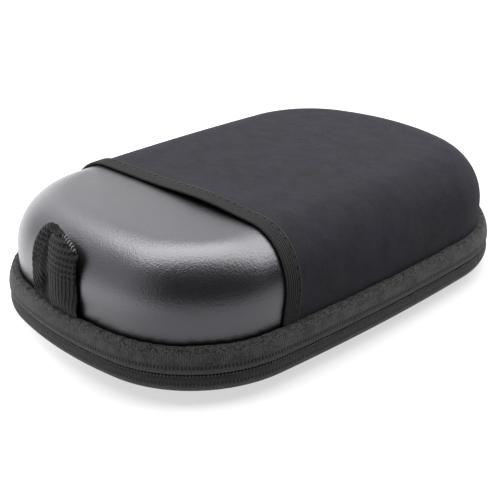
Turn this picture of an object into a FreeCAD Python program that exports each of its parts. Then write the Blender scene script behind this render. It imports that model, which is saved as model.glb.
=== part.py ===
"""Moulded zip-up carry case for a golf launch monitor, as a parametric FreeCAD document.

The case stands flat on z = 0 with its long side along X. The hinge is a fabric strip on the +Y side, the
webbing loop is on the -X end, and the two zipper sliders meet on the +X end. Every outline is the same
closed chain of tangent arcs, moved outwards (stand) or inwards by a distance. Sizes are in millimetres.
"""
import FreeCAD, Part
import math
import os
import Sketcher
from FreeCAD import Placement, Rotation, Vector

DOC = FreeCAD.newDocument("launch_monitor_case")

# Driving dimensions: name, value in mm (or degrees), what it is.
DIMENSIONS = [
    ("half_length", 112.0, "lid skin, half its length"),
    ("half_width", 76.0, "lid skin, half its width"),
    ("side_radius", 1010.0, "bow of the long sides"),
    ("near_radius", 193.0, "bow of the end with the webbing loop"),
    ("far_radius", 116.0, "bow of the end with the sliders"),
    ("near_corner", 49.5, "corner radius at the loop end"),
    ("far_corner", 55.0, "corner radius at the slider end"),
    ("zip_height", 12.0, "parting plane of the zipper"),
    ("zip_slit", 1.0, "gap between the two zipper tapes"),
    ("lid_top", 57.0, "top of the lid skin"),
    ("lid_round", 25.0, "radius of the lid's top edge"),
    ("skin_foot", 21.0, "lower edge of the lid skin, inside the band's groove"),
    ("skin_thick", 0.8, "moulded outer skin"),
    ("foam_thick", 3.2, "moulded foam wall"),
    ("lining_thick", 0.6, "fabric lining"),
    ("pocket_thick", 1.0, "stretch fabric of the lid pocket"),
    ("pocket_foot", 23.5, "lower edge of the lid pocket"),
    ("mouth_top", 51.3, "pocket mouth at the lid's top, distance towards the loop end"),
    ("mouth_foot", 61.0, "pocket mouth at the pocket's lower edge"),
    ("binding_width", 7.5, "elastic binding along the pocket mouth"),
    ("binding_thick", 1.0, "how far the binding stands out of the pocket"),
    ("tape_thick", 1.2, "zipper tape with its backing"),
    ("edge_stand", 4.8, "how far the tape's zipper edge stands out of the lid skin"),
    ("band_stand", 5.7, "the band's widest place"),
    ("band_rise", 3.0, "height of the widest place above or below the parting plane"),
    ("rim_stand", 3.6, "outer corner of the band's upper edge"),
    ("rim_height", 22.6, "height of that corner"),
    ("groove_stand", 0.7, "inner corner of the band's upper edge"),
    ("groove_height", 22.2, "height of that corner"),
    ("edge_bend", 4.4, "radius of the band beside the zipper"),
    ("upper_bend", 14.8, "radius of the band's upper half"),
    ("roll_bend", 1.6, "radius of the rolled upper edge"),
    ("tuck_stand", 2.2, "where the lower half starts to run under"),
    ("tuck_height", 3.55, "height of that place"),
    ("tuck_bend", 6.0, "radius above that place"),
    ("under_bend", 40.2, "radius below that place"),
    ("sole_inset", 14.3, "edge of the flat sole, inside the lid skin's outline"),
    ("tape_foot_stand", -2.2, "lower edge of the lower tape"),
    ("tape_foot_height", 1.87, "height of that edge"),
    ("coil_stand", 2.3, "centre of the zipper coil, outside the lid skin's outline"),
    ("coil_radius", 0.9, "radius of the coil"),
    ("coil_drop", 1.45, "coil centre above or below the parting plane"),
    ("hinge_half", 47.0, "half the length of the fabric hinge"),
    ("hinge_thick", 0.4, "hinge fabric"),
    ("hinge_gap", 0.5, "hinge fabric, away from the parting plane"),
    ("hinge_reach", 7.0, "how far the outer hinge fabric runs up and down"),
    ("hinge_lining_reach", 2.9, "the same for the inner one"),
    ("coil_end", 53.0, "half the distance between the zipper's two ends"),
    ("stop_length", 3.0, "zipper end stop"),
    ("insert_inset", 12.0, "foam insert, inside the lid skin's outline"),
    ("insert_foot", 6.1, "underside of the foam insert"),
    ("insert_top", 36.0, "top of the foam insert"),
    ("insert_round", 6.0, "its top edge"),
    ("recess_length", 144.0, "recess for the monitor"),
    ("recess_width", 100.0, "its width"),
    ("recess_floor", 11.0, "height of its floor"),
    ("recess_shift", 12.0, "its centre, towards the loop end"),
    ("recess_round", 14.0, "its corners"),
    ("bay_length", 20.0, "accessory bay beside it"),
    ("bay_width", 72.0, "its width"),
    ("bay_centre", 78.0, "its centre, towards the slider end"),
    ("bay_floor", 15.0, "height of its floor"),
    ("bay_round", 7.0, "its corners"),
    ("grip_length", 26.0, "finger notch beside the recess"),
    ("grip_depth", 9.0, "how far it cuts into the side wall"),
    ("grip_floor", 18.0, "height of its floor"),
    ("mesh_length", 140.0, "mesh pocket under the lid"),
    ("mesh_width", 74.0, "its width"),
    ("mesh_thick", 0.6, "its thickness"),
    ("mesh_height", 51.6, "its underside"),
    ("mesh_trim", 6.0, "width of its elastic edge"),
    ("inner_edge", 5.2, "inner face of the seam bindings, inside the lid skin's outline"),
    ("seam_thick", 0.5, "seam binding"),
    ("lid_seam_foot", 14.5, "lower face of the lid's seam binding"),
    ("lid_seam_top", 20.0, "its upper edge"),
    ("foam_rim", 15.1, "lower face of the lid's foam rim"),
    ("tray_rim", 9.0, "upper face of the tray's foam rim"),
    ("loop_centre", 5.5, "middle of the webbing loop, along Y"),
    ("loop_half", 15.5, "half its width"),
    ("loop_foot", 24.7, "its lower edge"),
    ("loop_shoulder", 44.0, "where its sides turn in"),
    ("loop_top", 58.5, "its point"),
    ("loop_thick", 2.4, "two layers of webbing and the fold between them"),
    ("loop_stand", 4.2, "outer face of its lower edge, outside the lid skin"),
    ("loop_lean", 8.0, "lean towards the lid, degrees"),
    ("eye_width", 7.0, "opening of the loop"),
    ("eye_height", 11.0, "its height"),
    ("eye_foot", 37.0, "its lower edge"),
    ("slider_length", 9.0, "slider, along the zipper"),
    ("slider_gap", 2.0, "half the gap between the two parked sliders"),
    ("slider_travel", 14.0, "straight travel along the bowed end"),
    ("slider_front", 6.3, "inner face of its front plate, outside the lid skin"),
    ("slider_plate", 1.3, "thickness of the front plate"),
    ("slider_height", 7.0, "height of the front plate"),
    ("back_plate", 0.7, "thickness of the back plate"),
    ("back_height", 4.0, "height of the back plate"),
    ("neck_height", 0.5, "thickness of the neck between the plates"),
    ("neck_length", 3.0, "length of the neck along the zipper"),
    ("bail_height", 2.6, "how far the bail stands out of the front plate"),
    ("bail_wire", 1.1, "wire of the bail"),
    ("bail_length", 5.5, "length of the bail along the zipper"),
    ("pull_length", 21.0, "pull tab"),
    ("pull_height", 5.6, "its width"),
    ("pull_thick", 1.0, "its thickness"),
    ("eye_reach", 7.0, "opening in the pull tab that the bail stands in"),
    ("eye_bar", 1.3, "bar of the pull tab beyond that opening"),
    ("eye_half", 1.0, "half the height of that opening"),
    ("sleeve_length", 12.0, "soft sleeve on the pull tab's end"),
    ("sleeve_height", 7.2, "its width"),
    ("sleeve_thick", 2.6, "its thickness"),
    ("sleeve_end", 1.0, "soft sleeve, beyond the tab's end"),
    ("pull_clear", 0.4, "between the front plate and the pull tab"),
    ("eye_clear", 0.5, "between the bail and the bar of the pull tab"),
    ("slider_bite", 0.2, "how far the slider's parts run into each other"),
    ("layer_gap", 0.1, "between two layers that are not glued"),
    ("glue_gap", 0.2, "between foam and the fabric in front of it"),
    ("overlap", 1.0, "how far a swept ring runs into the solid it joins"),
    ("rim_rise", 3.6, "top of the foam rim's upright face, above the band's widest place"),
    ("rim_taper", 0.6, "how far that face leans in"),
    ("rim_drop", 0.3, "top of the foam rim, below the lid skin's lower edge"),
    ("mouth_low", 5.0, "pocket mouth's cutting line starts this far below the pocket"),
    ("mouth_high", 10.0, "and ends this far above the lid"),
    ("cut_margin", 20.0, "how far a cut runs past the ends of the lid"),
    ("seam_reach", 1.0, "outer edge of the lid's seam binding, outside the lid skin's outline"),
    ("tray_seam_inset", 2.4, "inner edge of the tray's seam binding, inside that outline"),
    ("tray_seam_reach", 0.9, "its outer edge, outside that outline"),
    ("tray_seam_lift", 0.05, "its lower face, above the tray's rim"),
    ("trim_drop", 0.4, "elastic edge of the mesh pocket, below the mesh"),
    ("trim_thick", 1.1, "its thickness"),
    ("tuck_turn", 65.8, "slope of the base's outer face where it starts to run under, degrees"),
    ("tape_foot_turn", 72.5, "direction across the lower tape at its lower edge, degrees"),
    ("step_inset", 0.7, "step in the base fabric, inside the tape's lower edge"),
    ("step_drop", 0.27, "and below it"),
    ("hinge_lining_stand", 1.2, "inner hinge fabric, outside the lid skin's outline"),
    ("stop_gap", 0.4, "between an end stop and the end of the coil"),
    ("grip_round", 8.1, "corners of the finger notch"),
]

LEVEL_TOLERANCE = 1e-4
LEAST_CUT = 1e-3


class Size:
    """A length that knows its value now and the expression that gives it from the sheet."""

    def __init__(self, value, text=None):
        self.value = float(value)
        self.text = text or repr(float(value))

    @staticmethod
    def of(thing):
        return thing if isinstance(thing, Size) else Size(thing)

    def _join(self, other, sign, value):
        return Size(value, f"({self.text} {sign} {other.text})")

    def __add__(self, other):
        other = Size.of(other)
        return self._join(other, "+", self.value + other.value)

    def __sub__(self, other):
        other = Size.of(other)
        return self._join(other, "-", self.value - other.value)

    def __mul__(self, other):
        other = Size.of(other)
        return self._join(other, "*", self.value * other.value)

    def __radd__(self, other):
        return Size.of(other) + self

    def __rsub__(self, other):
        return Size.of(other) - self

    def __rmul__(self, other):
        return Size.of(other) * self

    def __neg__(self):
        return Size(0) - self


def make_sheet():
    """The spreadsheet of driving dimensions, and the same names as Size values."""
    sheet = DOC.addObject("Spreadsheet::Sheet", "Dims")
    sizes = {}
    for row, (name, value, meaning) in enumerate(DIMENSIONS, start=1):
        sheet.set(f"A{row}", name)
        sheet.set(f"B{row}", str(value))
        sheet.set(f"C{row}", meaning)
        sheet.setAlias(f"B{row}", name)
        sizes[name] = Size(value, f"Dims.{name}")
    DOC.recompute()
    return sizes


D = make_sheet()


# ---------------------------------------------------------------- sketches

def new_body(label):
    body = DOC.addObject("PartDesign::Body", label)
    body.Label = label
    return body


def new_sketch(body, name, plane="XY_Plane", lift=None):
    """A sketch on one of the body's own planes, moved along the plane's normal by lift."""
    sketch = body.newObject("Sketcher::SketchObject", f"{body.Name}_{name}")
    origin_plane = [o for o in body.Origin.OriginFeatures if o.Role == plane]
    sketch.AttachmentSupport = [(origin_plane[0], "")]
    sketch.MapMode = "FlatFace"
    if lift is not None:
        lift = Size.of(lift)
        sketch.AttachmentOffset = Placement(Vector(0, 0, lift.value), Rotation())
        sketch.setExpression("AttachmentOffset.Base.z", lift.text)
    return sketch


def rule(kind, *where, to=None):
    """One constraint of a sketch, with the size that drives it when it has one."""
    if to is None:
        return Sketcher.Constraint(kind, *where), None
    to = Size.of(to)
    return Sketcher.Constraint(kind, *where, to.value), to


def at(edge, end, across, up):
    """Rules that fix one end of an edge at (across, up) from the sketch's origin."""
    rules = []
    for kind, axis, size in (("DistanceX", -2, Size.of(across)), ("DistanceY", -1, Size.of(up))):
        if abs(size.value) < 1e-9:
            rules.append(rule("PointOnObject", edge, end, axis))
        else:
            rules.append(rule(kind, -1, 1, edge, end, to=size))
    return rules


def apply_rules(sketch, rules):
    """Adds every constraint at once, then binds the sizes to the sheet."""
    first = sketch.ConstraintCount
    sketch.addConstraint([constraint for constraint, _ in rules])
    for index, (_, size) in enumerate(rules, start=first):
        if size is not None and "Dims." in size.text:
            sketch.setExpression(f"Constraints[{index}]", size.text)


def arc_between(start, end, radius):
    """The short arc from start to end. A positive radius turns anticlockwise, a negative one clockwise."""
    chord = end - start
    middle = (start + end) * 0.5
    height = math.sqrt(max(radius * radius - (chord.Length / 2) ** 2, 0.0))
    left = Vector(-chord.y, chord.x, 0).normalize()
    centre = middle + left * math.copysign(height, radius)
    first = math.atan2(start.y - centre.y, start.x - centre.x)
    last = math.atan2(end.y - centre.y, end.x - centre.x)
    circle = Part.Circle(centre, Vector(0, 0, 1), abs(radius))
    if radius > 0:
        return Part.ArcOfCircle(circle, first, last if last > first else last + 2 * math.pi)
    return Part.ArcOfCircle(circle, last, first if first > last else first + 2 * math.pi)


def closed_profile(sketch, corners, bends=None):
    """A closed chain through corners; bends maps an edge's number to its signed arc radius."""
    bends = bends or {}
    points = [Vector(Size.of(x).value, Size.of(y).value, 0) for x, y in corners]
    ends = []
    rules = []
    for i, start in enumerate(points):
        end = points[(i + 1) % len(points)]
        if i in bends:
            radius = Size.of(bends[i])
            sketch.addGeometry(arc_between(start, end, radius.value), False)
            ends.append((1, 2) if radius.value > 0 else (2, 1))
            rules.append(rule("Radius", i, to=radius if radius.value > 0 else -radius))
        else:
            sketch.addGeometry(Part.LineSegment(start, end), False)
            ends.append((1, 2))
    for i, (x, y) in enumerate(corners):
        before = (i - 1) % len(corners)
        rules.append(rule("Coincident", before, ends[before][1], i, ends[i][0]))
        rules += at(i, ends[i][0], x, y)
    apply_rules(sketch, rules)


def quarter_arcs(radius, corner, stand):
    """Arc data of the quarter outline from the end's middle to the side's middle.

    radius and corner are the end's bow and its corner. Returns centre, radius, first and last angle of the
    end, corner and side arcs, with the end on the positive side of X.
    """
    side = D["side_radius"].value
    end_centre = Vector(D["half_length"].value - radius, 0, 0)
    side_centre = Vector(0, D["half_width"].value - side, 0)
    reach_end = radius - corner
    reach_side = side - corner
    apart = side_centre - end_centre
    along = (apart.Length ** 2 + reach_end ** 2 - reach_side ** 2) / (2 * apart.Length)
    off = math.sqrt(reach_end ** 2 - along ** 2)
    unit = Vector(apart).normalize()
    centre = max((end_centre + unit * along + Vector(-unit.y, unit.x, 0) * s * off for s in (1, -1)),
                 key=lambda c: c.x + c.y)
    first = math.atan2(centre.y - end_centre.y, centre.x - end_centre.x)
    second = math.atan2(centre.y - side_centre.y, centre.x - side_centre.x)
    return [(end_centre, radius + stand, 0.0, first),
            (centre, corner + stand, first, second),
            (side_centre, side + stand, second, math.pi / 2)]


def outline(sketch, stand, gap=None):
    """The case's outline moved outwards by stand: tangent arcs from the +X end round by -X and back.

    With gap the chain is open: it leaves out the middle of the +Y side, gap either side of the middle.
    """
    stand = Size.of(stand)
    far = quarter_arcs(D["far_radius"].value, D["far_corner"].value, stand.value)
    near = quarter_arcs(D["near_radius"].value, D["near_corner"].value, stand.value)
    top = math.pi / 2
    gap_turn = math.asin(gap.value / (D["side_radius"].value + stand.value)) if gap else 0.0

    def arc(data, flip_x=False, flip_y=False, last=None):
        centre, radius, start, end = data
        end = end if last is None else last
        if flip_x:
            centre, start, end = Vector(-centre.x, centre.y, 0), math.pi - end, math.pi - start
        if flip_y:
            centre, start, end = Vector(centre.x, -centre.y, 0), -end, -start
        return Part.ArcOfCircle(Part.Circle(centre, Vector(0, 0, 1), radius), start, end)

    side_near, side_far = near[2], far[2]
    arcs = [arc(far[0]), arc(far[1])]
    if gap:
        arcs += [arc(side_far, last=top - gap_turn), arc(side_near, True, last=top - gap_turn)]
    else:
        arcs += [Part.ArcOfCircle(Part.Circle(side_far[0], Vector(0, 0, 1), side_far[1]),
                                  side_far[2], math.pi - side_near[2])]
    arcs += [arc(near[1], True), arc(near[0], True), arc(near[0], True, True), arc(near[1], True, True)]
    arcs += [Part.ArcOfCircle(Part.Circle(Vector(side_far[0].x, -side_far[0].y, 0), Vector(0, 0, 1),
                                          side_far[1]), math.pi + side_near[2], 2 * math.pi - side_far[2])]
    arcs += [arc(far[1], False, True), arc(far[0], False, True)]
    for piece in arcs:
        sketch.addGeometry(piece, False)
    constrain_outline(sketch, stand, gap, len(arcs))


def constrain_outline(sketch, stand, gap, count):
    """Tangent joints, centres on the axes and the bound sizes of an outline's arcs."""
    cut = 1 if gap else 0
    far_end, far_corner, side = [0, count - 1], [1, count - 2], [2, count - 3] + ([3] if gap else [])
    near_end, near_corner = [4 + cut, 5 + cut], [3 + cut, 6 + cut]
    rules = []
    for first in range(count - 1):
        if gap and first == 2:
            continue
        kind = "Coincident" if first == near_end[0] else "Tangent"
        rules.append(rule(kind, first, 2, first + 1, 1))
    rules.append(rule("Coincident", count - 1, 2, 0, 1))
    rules += [rule("PointOnObject", edge, 3, -1) for edge in far_end + near_end]
    rules += [rule("PointOnObject", edge, 3, -2) for edge in side]
    rules += at(0, 1, D["half_length"] + stand, 0)
    rules += at(near_end[1], 1, -(D["half_length"] + stand), 0)
    for edges, name in ((far_end, "far_radius"), (near_end, "near_radius"), (side, "side_radius"),
                        (far_corner, "far_corner"), (near_corner, "near_corner")):
        rules += [rule("Radius", edge, to=D[name] + stand) for edge in edges]
    for edge in side:
        sign = -1 if edge == count - 3 else 1
        rules.append(rule("DistanceY", -1, 1, edge, 3, to=(D["half_width"] - D["side_radius"]) * sign))
    if gap:
        rules.append(rule("DistanceX", -1, 1, 2, 2, to=gap))
        rules.append(rule("DistanceX", -1, 1, 3, 1, to=-gap))
    apply_rules(sketch, rules)


def rectangle(sketch, left, right, low, high):
    closed_profile(sketch, [(left, low), (right, low), (right, high), (left, high)])


# ---------------------------------------------------------------- features

def pad(body, sketch, length, midplane=False, backwards=False):
    feature = body.newObject("PartDesign::Pad", f"{sketch.Name}_pad")
    feature.Profile = sketch
    feature.Midplane = midplane
    feature.Reversed = backwards
    set_length(feature, length)
    sketch.Visibility = False
    return feature


def cut(body, sketch, length=None, midplane=False, backwards=False):
    """A pocket, through all when it has no length. Its volume must fall."""
    before = body.Shape.Volume
    feature = body.newObject("PartDesign::Pocket", f"{sketch.Name}_cut")
    feature.Profile = sketch
    feature.Midplane = midplane
    feature.Reversed = backwards
    if length is None:
        feature.Type = "ThroughAll"
    else:
        set_length(feature, length)
    DOC.recompute()
    if feature.Shape.Volume > before - LEAST_CUT:
        raise RuntimeError(f"{feature.Name} removes nothing")
    return feature


def set_length(feature, length):
    length = Size.of(length)
    feature.Length = length.value
    if "Dims." in length.text:
        feature.setExpression("Length", length.text)
    DOC.recompute()


def pipe(body, profile, spine, subtract=False):
    """A profile swept along a spine that lies flat, kept upright."""
    kind = "PartDesign::SubtractivePipe" if subtract else "PartDesign::AdditivePipe"
    feature = body.newObject(kind, f"{profile.Name}_pipe")
    feature.Profile = profile
    feature.Spine = (spine, [])
    feature.Mode = "Standard"
    DOC.recompute()
    return feature


def edges_at(shape, height):
    """Names of the edges that lie flat at a height."""
    return [f"Edge{i}" for i, edge in enumerate(shape.Edges, start=1)
            if abs(edge.BoundBox.ZMin - height) < LEVEL_TOLERANCE
            and abs(edge.BoundBox.ZMax - height) < LEVEL_TOLERANCE]


def round_edges(body, base, names, radius, label="round"):
    radius = Size.of(radius)
    feature = body.newObject("PartDesign::Fillet", f"{body.Name}_{label}")
    feature.Base = (base, names)
    feature.Radius = radius.value
    if "Dims." in radius.text:
        feature.setExpression("Radius", radius.text)
    DOC.recompute()
    return feature


def block(body, name, stand, foot, top):
    """The outline padded from foot to top, with sharp edges."""
    sketch = new_sketch(body, name, lift=foot)
    outline(sketch, stand)
    return pad(body, sketch, top - foot)


def hollow_and_round(body, outer, inner, foot):
    """Hollows a block from below and rounds both its upper edges, so that it becomes a dome."""
    inner_top = D["lid_top"] + inner
    sketch = new_sketch(body, "inside", lift=foot)
    outline(sketch, inner)
    hollow = cut(body, sketch, inner_top - foot, backwards=True)
    names = edges_at(hollow.Shape, inner_top.value)
    rounded = round_edges(body, hollow, names, D["lid_round"] + inner, "inner_round")
    names = edges_at(rounded.Shape, (D["lid_top"] + outer).value)
    return round_edges(body, rounded, names, D["lid_round"] + outer, "outer_round")


def dome_layer(label, outer, inner, foot):
    """A dome-shaped layer between two distances from the lid skin's outer face."""
    body = new_body(label)
    block(body, "outside", outer, foot, D["lid_top"] + outer)
    hollow_and_round(body, outer, inner, foot)
    return body


def swept_ring(label, corners, bends=None, gap=None, body=None, name="ring"):
    """A profile, given as (stand, height) corners, swept round the whole outline."""
    body = body or new_body(label)
    spine = new_sketch(body, f"{name}_spine")
    if gap is None:
        outline(spine, 0)
    else:
        outline(spine, 0, gap)
    profile = new_sketch(body, f"{name}_profile", "XZ_Plane")
    closed_profile(profile, [(D["half_length"] + x, z) for x, z in corners], bends)
    pipe(body, profile, spine)
    return body


# ---------------------------------------------------------------- lid

def lid_skin():
    return dome_layer("lid_skin", Size(0), -D["skin_thick"], D["skin_foot"])


def upper_band_corners(inset):
    """Outer corners and bends of the band's upper half, moved inwards by inset."""
    zip_edge = D["zip_height"] + D["zip_slit"] * 0.5
    widest = D["zip_height"] + D["band_rise"]
    corners = [(D["edge_stand"] - inset, zip_edge), (D["band_stand"] - inset, widest),
               (D["rim_stand"] - inset, D["rim_height"] - inset * 0.5)]
    bends = {0: D["edge_bend"] - inset, 1: D["upper_bend"] - inset}
    return corners, bends


def upper_zipper_tape():
    thick = D["tape_thick"]
    outer, bends = upper_band_corners(Size(0))
    inner, inner_bends = upper_band_corners(thick)
    roll_in = (D["groove_stand"] + D["layer_gap"], D["groove_height"] - thick)
    corners = outer + [(D["groove_stand"], D["groove_height"]), roll_in] + inner[::-1]
    bends[2] = D["roll_bend"]
    bends[5] = -inner_bends[1]
    bends[6] = -inner_bends[0]
    return swept_ring("upper_zipper_tape", corners, bends)


def lid_shell():
    """The foam dome, with the rim that fills the band's upper half."""
    body = new_body("lid_shell")
    outer = -D["skin_thick"]
    inner = outer - D["foam_thick"]
    block(body, "outside", outer, D["foam_rim"], D["lid_top"] + outer)
    face = D["band_stand"] - D["tape_thick"] - D["glue_gap"]
    shoulder = D["zip_height"] + D["band_rise"] + D["rim_rise"]
    rim_top = D["skin_foot"] - D["rim_drop"]
    root = inner + D["overlap"]
    rim = [(root, D["foam_rim"]), (face, D["foam_rim"]), (face - D["rim_taper"], shoulder),
           (outer + D["skin_thick"], rim_top), (root, rim_top)]
    swept_ring(None, rim, {1: D["upper_bend"]}, body=body, name="rim")
    hollow_and_round(body, outer, inner, D["foam_rim"])
    return body


def lid_lining():
    inner = -(D["skin_thick"] + D["foam_thick"])
    return dome_layer("lid_lining", inner, inner - D["lining_thick"], D["lid_seam_foot"] + D["seam_thick"])


def mouth_cut(body, name, offset, keep_far=True):
    """Cuts a dome along the slanting mouth line, moved towards the far end by offset."""
    sketch = new_sketch(body, name, "XZ_Plane")
    foot = D["pocket_foot"] - D["mouth_low"]
    high = D["lid_top"] + D["mouth_high"]
    slope_low = offset - D["mouth_foot"]
    slope_high = offset - D["mouth_top"]
    beyond = (D["half_length"] + D["cut_margin"]) * (-1 if keep_far else 1)
    corners = [(beyond, foot), (slope_low, foot), (slope_high, high), (beyond, high)]
    closed_profile(sketch, corners if keep_far else corners[::-1])
    return cut(body, sketch, midplane=True)


def stretch_pocket():
    body = dome_layer("stretch_pocket", D["pocket_thick"], Size(0), D["pocket_foot"])
    mouth_cut(body, "mouth", Size(0))
    return body


def pocket_binding():
    thick = D["pocket_thick"] + D["binding_thick"]
    body = dome_layer("pocket_binding", thick, D["pocket_thick"], D["pocket_foot"])
    mouth_cut(body, "mouth", Size(0))
    mouth_cut(body, "back", D["binding_width"], keep_far=False)
    return body


def coil(label, side):
    """One row of the zipper coil, from one end of the fabric hinge round to the other."""
    body = new_body(label)
    spine = new_sketch(body, "spine")
    outline(spine, 0, D["coil_end"])
    profile = new_sketch(body, "profile", "XZ_Plane")
    centre = D["zip_height"] + D["coil_drop"] * side
    circle = Part.Circle(Vector((D["half_length"] + D["coil_stand"]).value, centre.value, 0),
                         Vector(0, 0, 1), D["coil_radius"].value)
    profile.addGeometry(circle, False)
    rules = at(0, 3, D["half_length"] + D["coil_stand"], centre) + [rule("Radius", 0, to=D["coil_radius"])]
    apply_rules(profile, rules)
    pipe(body, profile, spine)
    return body


def lid_inner_binding():
    """A folded tape over the lid's raw inner edge: an L in section."""
    low = D["lid_seam_foot"]
    thick = D["seam_thick"]
    inner = -D["inner_edge"]
    reach = D["seam_reach"]
    corners = [(inner, low), (reach, low), (reach, low + thick), (inner + thick, low + thick),
               (inner + thick, D["lid_seam_top"]), (inner, D["lid_seam_top"])]
    return swept_ring("lid_inner_binding", corners)


def hinge_strip(label, side, inner, reach):
    """A strip of fabric along the hinge side only, above (1) or below (-1) the parting plane."""
    body = new_body(label)
    gap = D["hinge_gap"]
    low = D["zip_height"] + (gap if side > 0 else -reach)
    sketch = new_sketch(body, "plan", lift=low)
    half = D["hinge_half"]
    thick = D["hinge_thick"]
    radius = D["side_radius"].value
    near = D["half_width"] + inner - (radius - math.sqrt(radius ** 2 - half.value ** 2))
    corners = [(half, near), (half, near + thick), (-half, near + thick), (-half, near)]
    closed_profile(sketch, corners, {1: D["side_radius"] + inner + thick, 3: -(D["side_radius"] + inner)})
    pad(body, sketch, reach - gap)
    return body


def mesh_pocket():
    body = new_body("mesh_pocket")
    sketch = new_sketch(body, "panel", lift=D["mesh_height"])
    half_x = D["mesh_length"] * 0.5
    half_y = D["mesh_width"] * 0.5
    rectangle(sketch, -half_x, half_x, -half_y, half_y)
    pad(body, sketch, D["mesh_thick"])
    return body


def mesh_pocket_trim():
    body = new_body("mesh_pocket_trim")
    sketch = new_sketch(body, "strip", lift=D["mesh_height"] - D["trim_drop"])
    half_x = D["mesh_length"] * 0.5
    edge = -(D["mesh_width"] * 0.5)
    rectangle(sketch, -half_x, half_x, edge - D["mesh_trim"], edge)
    pad(body, sketch, D["trim_thick"])
    return body


def end_stops(label, side):
    """The metal stops crimped on one tape at the zipper's two ends."""
    body = new_body(label)
    low = D["zip_height"] + D["coil_drop"] * side - D["coil_radius"]
    inner = D["half_width"] + D["coil_stand"] - D["coil_radius"] * 2
    outer_end = D["coil_end"] - D["stop_gap"]
    inner_end = outer_end - D["stop_length"]
    for name, left, right in (("far", inner_end, outer_end), ("near", -outer_end, -inner_end)):
        sketch = new_sketch(body, name, lift=low)
        rectangle(sketch, left, right, inner, inner + D["coil_radius"] * 2)
        pad(body, sketch, D["coil_radius"] * 2)
    return body


# ---------------------------------------------------------------- webbing loop

def loop_sketch(body, name):
    """A sketch on the loop's outer face, which leans to the lid about its lower edge."""
    sketch = new_sketch(body, name, "YZ_Plane")
    foot = Vector(0, D["loop_foot"].value, -(D["half_length"] + D["loop_stand"]).value)
    tilt = Rotation(Vector(1, 0, 0), D["loop_lean"].value)
    lower_edge = Vector(0, D["loop_foot"].value, 0)
    sketch.AttachmentOffset = Placement(foot - tilt.multVec(lower_edge), tilt)
    return sketch


def webbing_loop():
    """The folded strap as one slab: straight sides, shoulders and a point, with the eye through it."""
    body = new_body("webbing_loop")
    sketch = loop_sketch(body, "slab")
    left = D["loop_centre"] - D["loop_half"]
    right = D["loop_centre"] + D["loop_half"]
    corners = [(left, D["loop_foot"]), (right, D["loop_foot"]), (right, D["loop_shoulder"]),
               (D["loop_centre"], D["loop_top"]), (left, D["loop_shoulder"])]
    closed_profile(sketch, corners)
    pad(body, sketch, D["loop_thick"])
    eye = loop_sketch(body, "eye")
    half = D["eye_width"] * 0.5
    rectangle(eye, D["loop_centre"] - half, D["loop_centre"] + half, D["eye_foot"],
              D["eye_foot"] + D["eye_height"])
    cut(body, eye, D["loop_thick"] * 4, midplane=True)
    return body


# ---------------------------------------------------------------- base

def lower_band(stand_shift):
    """Corners and bends of the outer face below the zipper, moved inwards, from the top to the sole."""
    s = Size.of(stand_shift)
    tuck_angle = math.radians(D["tuck_turn"].value)
    widest = D["zip_height"] - D["band_rise"]
    tuck = (D["tuck_stand"] - s * math.cos(tuck_angle), D["tuck_height"] + s * math.sin(tuck_angle))
    return [(D["band_stand"] - s, widest), tuck, (-D["sole_inset"], s)]


def lower_zipper_tape():
    thick = D["tape_thick"]
    zip_edge = D["zip_height"] - D["zip_slit"] * 0.5
    widest, tuck, _ = lower_band(0)
    inner_widest, inner_tuck, _ = lower_band(thick)
    foot = (D["tape_foot_stand"], D["tape_foot_height"])
    across = math.radians(D["tape_foot_turn"].value)
    inner_foot = (foot[0] - thick * math.cos(across), foot[1] + thick * math.sin(across))
    corners = [(D["edge_stand"] - thick, zip_edge), inner_widest, inner_tuck, inner_foot, foot, tuck, widest,
               (D["edge_stand"], zip_edge)]
    bends = {0: -(D["edge_bend"] - thick), 1: -(D["tuck_bend"] - thick), 2: -(D["under_bend"] - thick),
             4: D["under_bend"], 5: D["tuck_bend"], 6: D["edge_bend"]}
    return swept_ring("lower_zipper_tape", corners, bends)


def base_skin():
    """The tray's outer fabric: behind the tape on the sides, flush with it underneath."""
    body = new_body("base_skin")
    tape = D["tape_thick"] + D["layer_gap"]
    inner = tape + D["skin_thick"]
    sole = new_sketch(body, "sole")
    outline(sole, -D["sole_inset"])
    pad(body, sole, inner)
    widest_out, tuck_out, _ = lower_band(tape)
    widest_in, tuck_in, _ = lower_band(inner)
    step = D["tape_foot_stand"] - D["step_inset"]
    step_low = D["tape_foot_height"] - D["step_drop"]
    root = -D["sole_inset"] - D["overlap"]
    corners = [(root, Size(0)), (-D["sole_inset"], Size(0)), (step, step_low),
               (step, D["tape_foot_height"] + tape), tuck_out, widest_out, widest_in, tuck_in,
               (-D["sole_inset"], inner), (root, inner)]
    bends = {1: D["under_bend"], 3: D["under_bend"], 4: D["tuck_bend"] - tape,
             6: -(D["tuck_bend"] - inner), 7: -(D["under_bend"] - inner)}
    swept_ring(None, corners, bends, body=body, name="wall")
    return body


def tray_layer(label, outer, inner):
    """A dish-shaped layer of the tray between two depths under its outer face."""
    body = new_body(label)
    sole = new_sketch(body, "floor", lift=outer)
    outline(sole, -D["sole_inset"])
    pad(body, sole, inner - outer)
    widest_out, tuck_out, foot_out = lower_band(outer)
    widest_in, tuck_in, foot_in = lower_band(inner)
    root = -D["sole_inset"] - D["overlap"]
    corners = [(root, outer), foot_out, tuck_out, widest_out, widest_in, tuck_in, foot_in, (root, inner)]
    bends = {1: D["under_bend"] - outer, 2: D["tuck_bend"] - outer,
             4: -(D["tuck_bend"] - inner), 5: -(D["under_bend"] - inner)}
    swept_ring(None, corners, bends, body=body, name="wall")
    return body


def base_shell():
    outer = D["tape_thick"] + D["skin_thick"]
    return tray_layer("base_shell", outer + D["glue_gap"], outer + D["foam_thick"])


def base_lining():
    outer = D["tape_thick"] + D["skin_thick"] + D["foam_thick"]
    return tray_layer("base_lining", outer, outer + D["lining_thick"])


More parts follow.
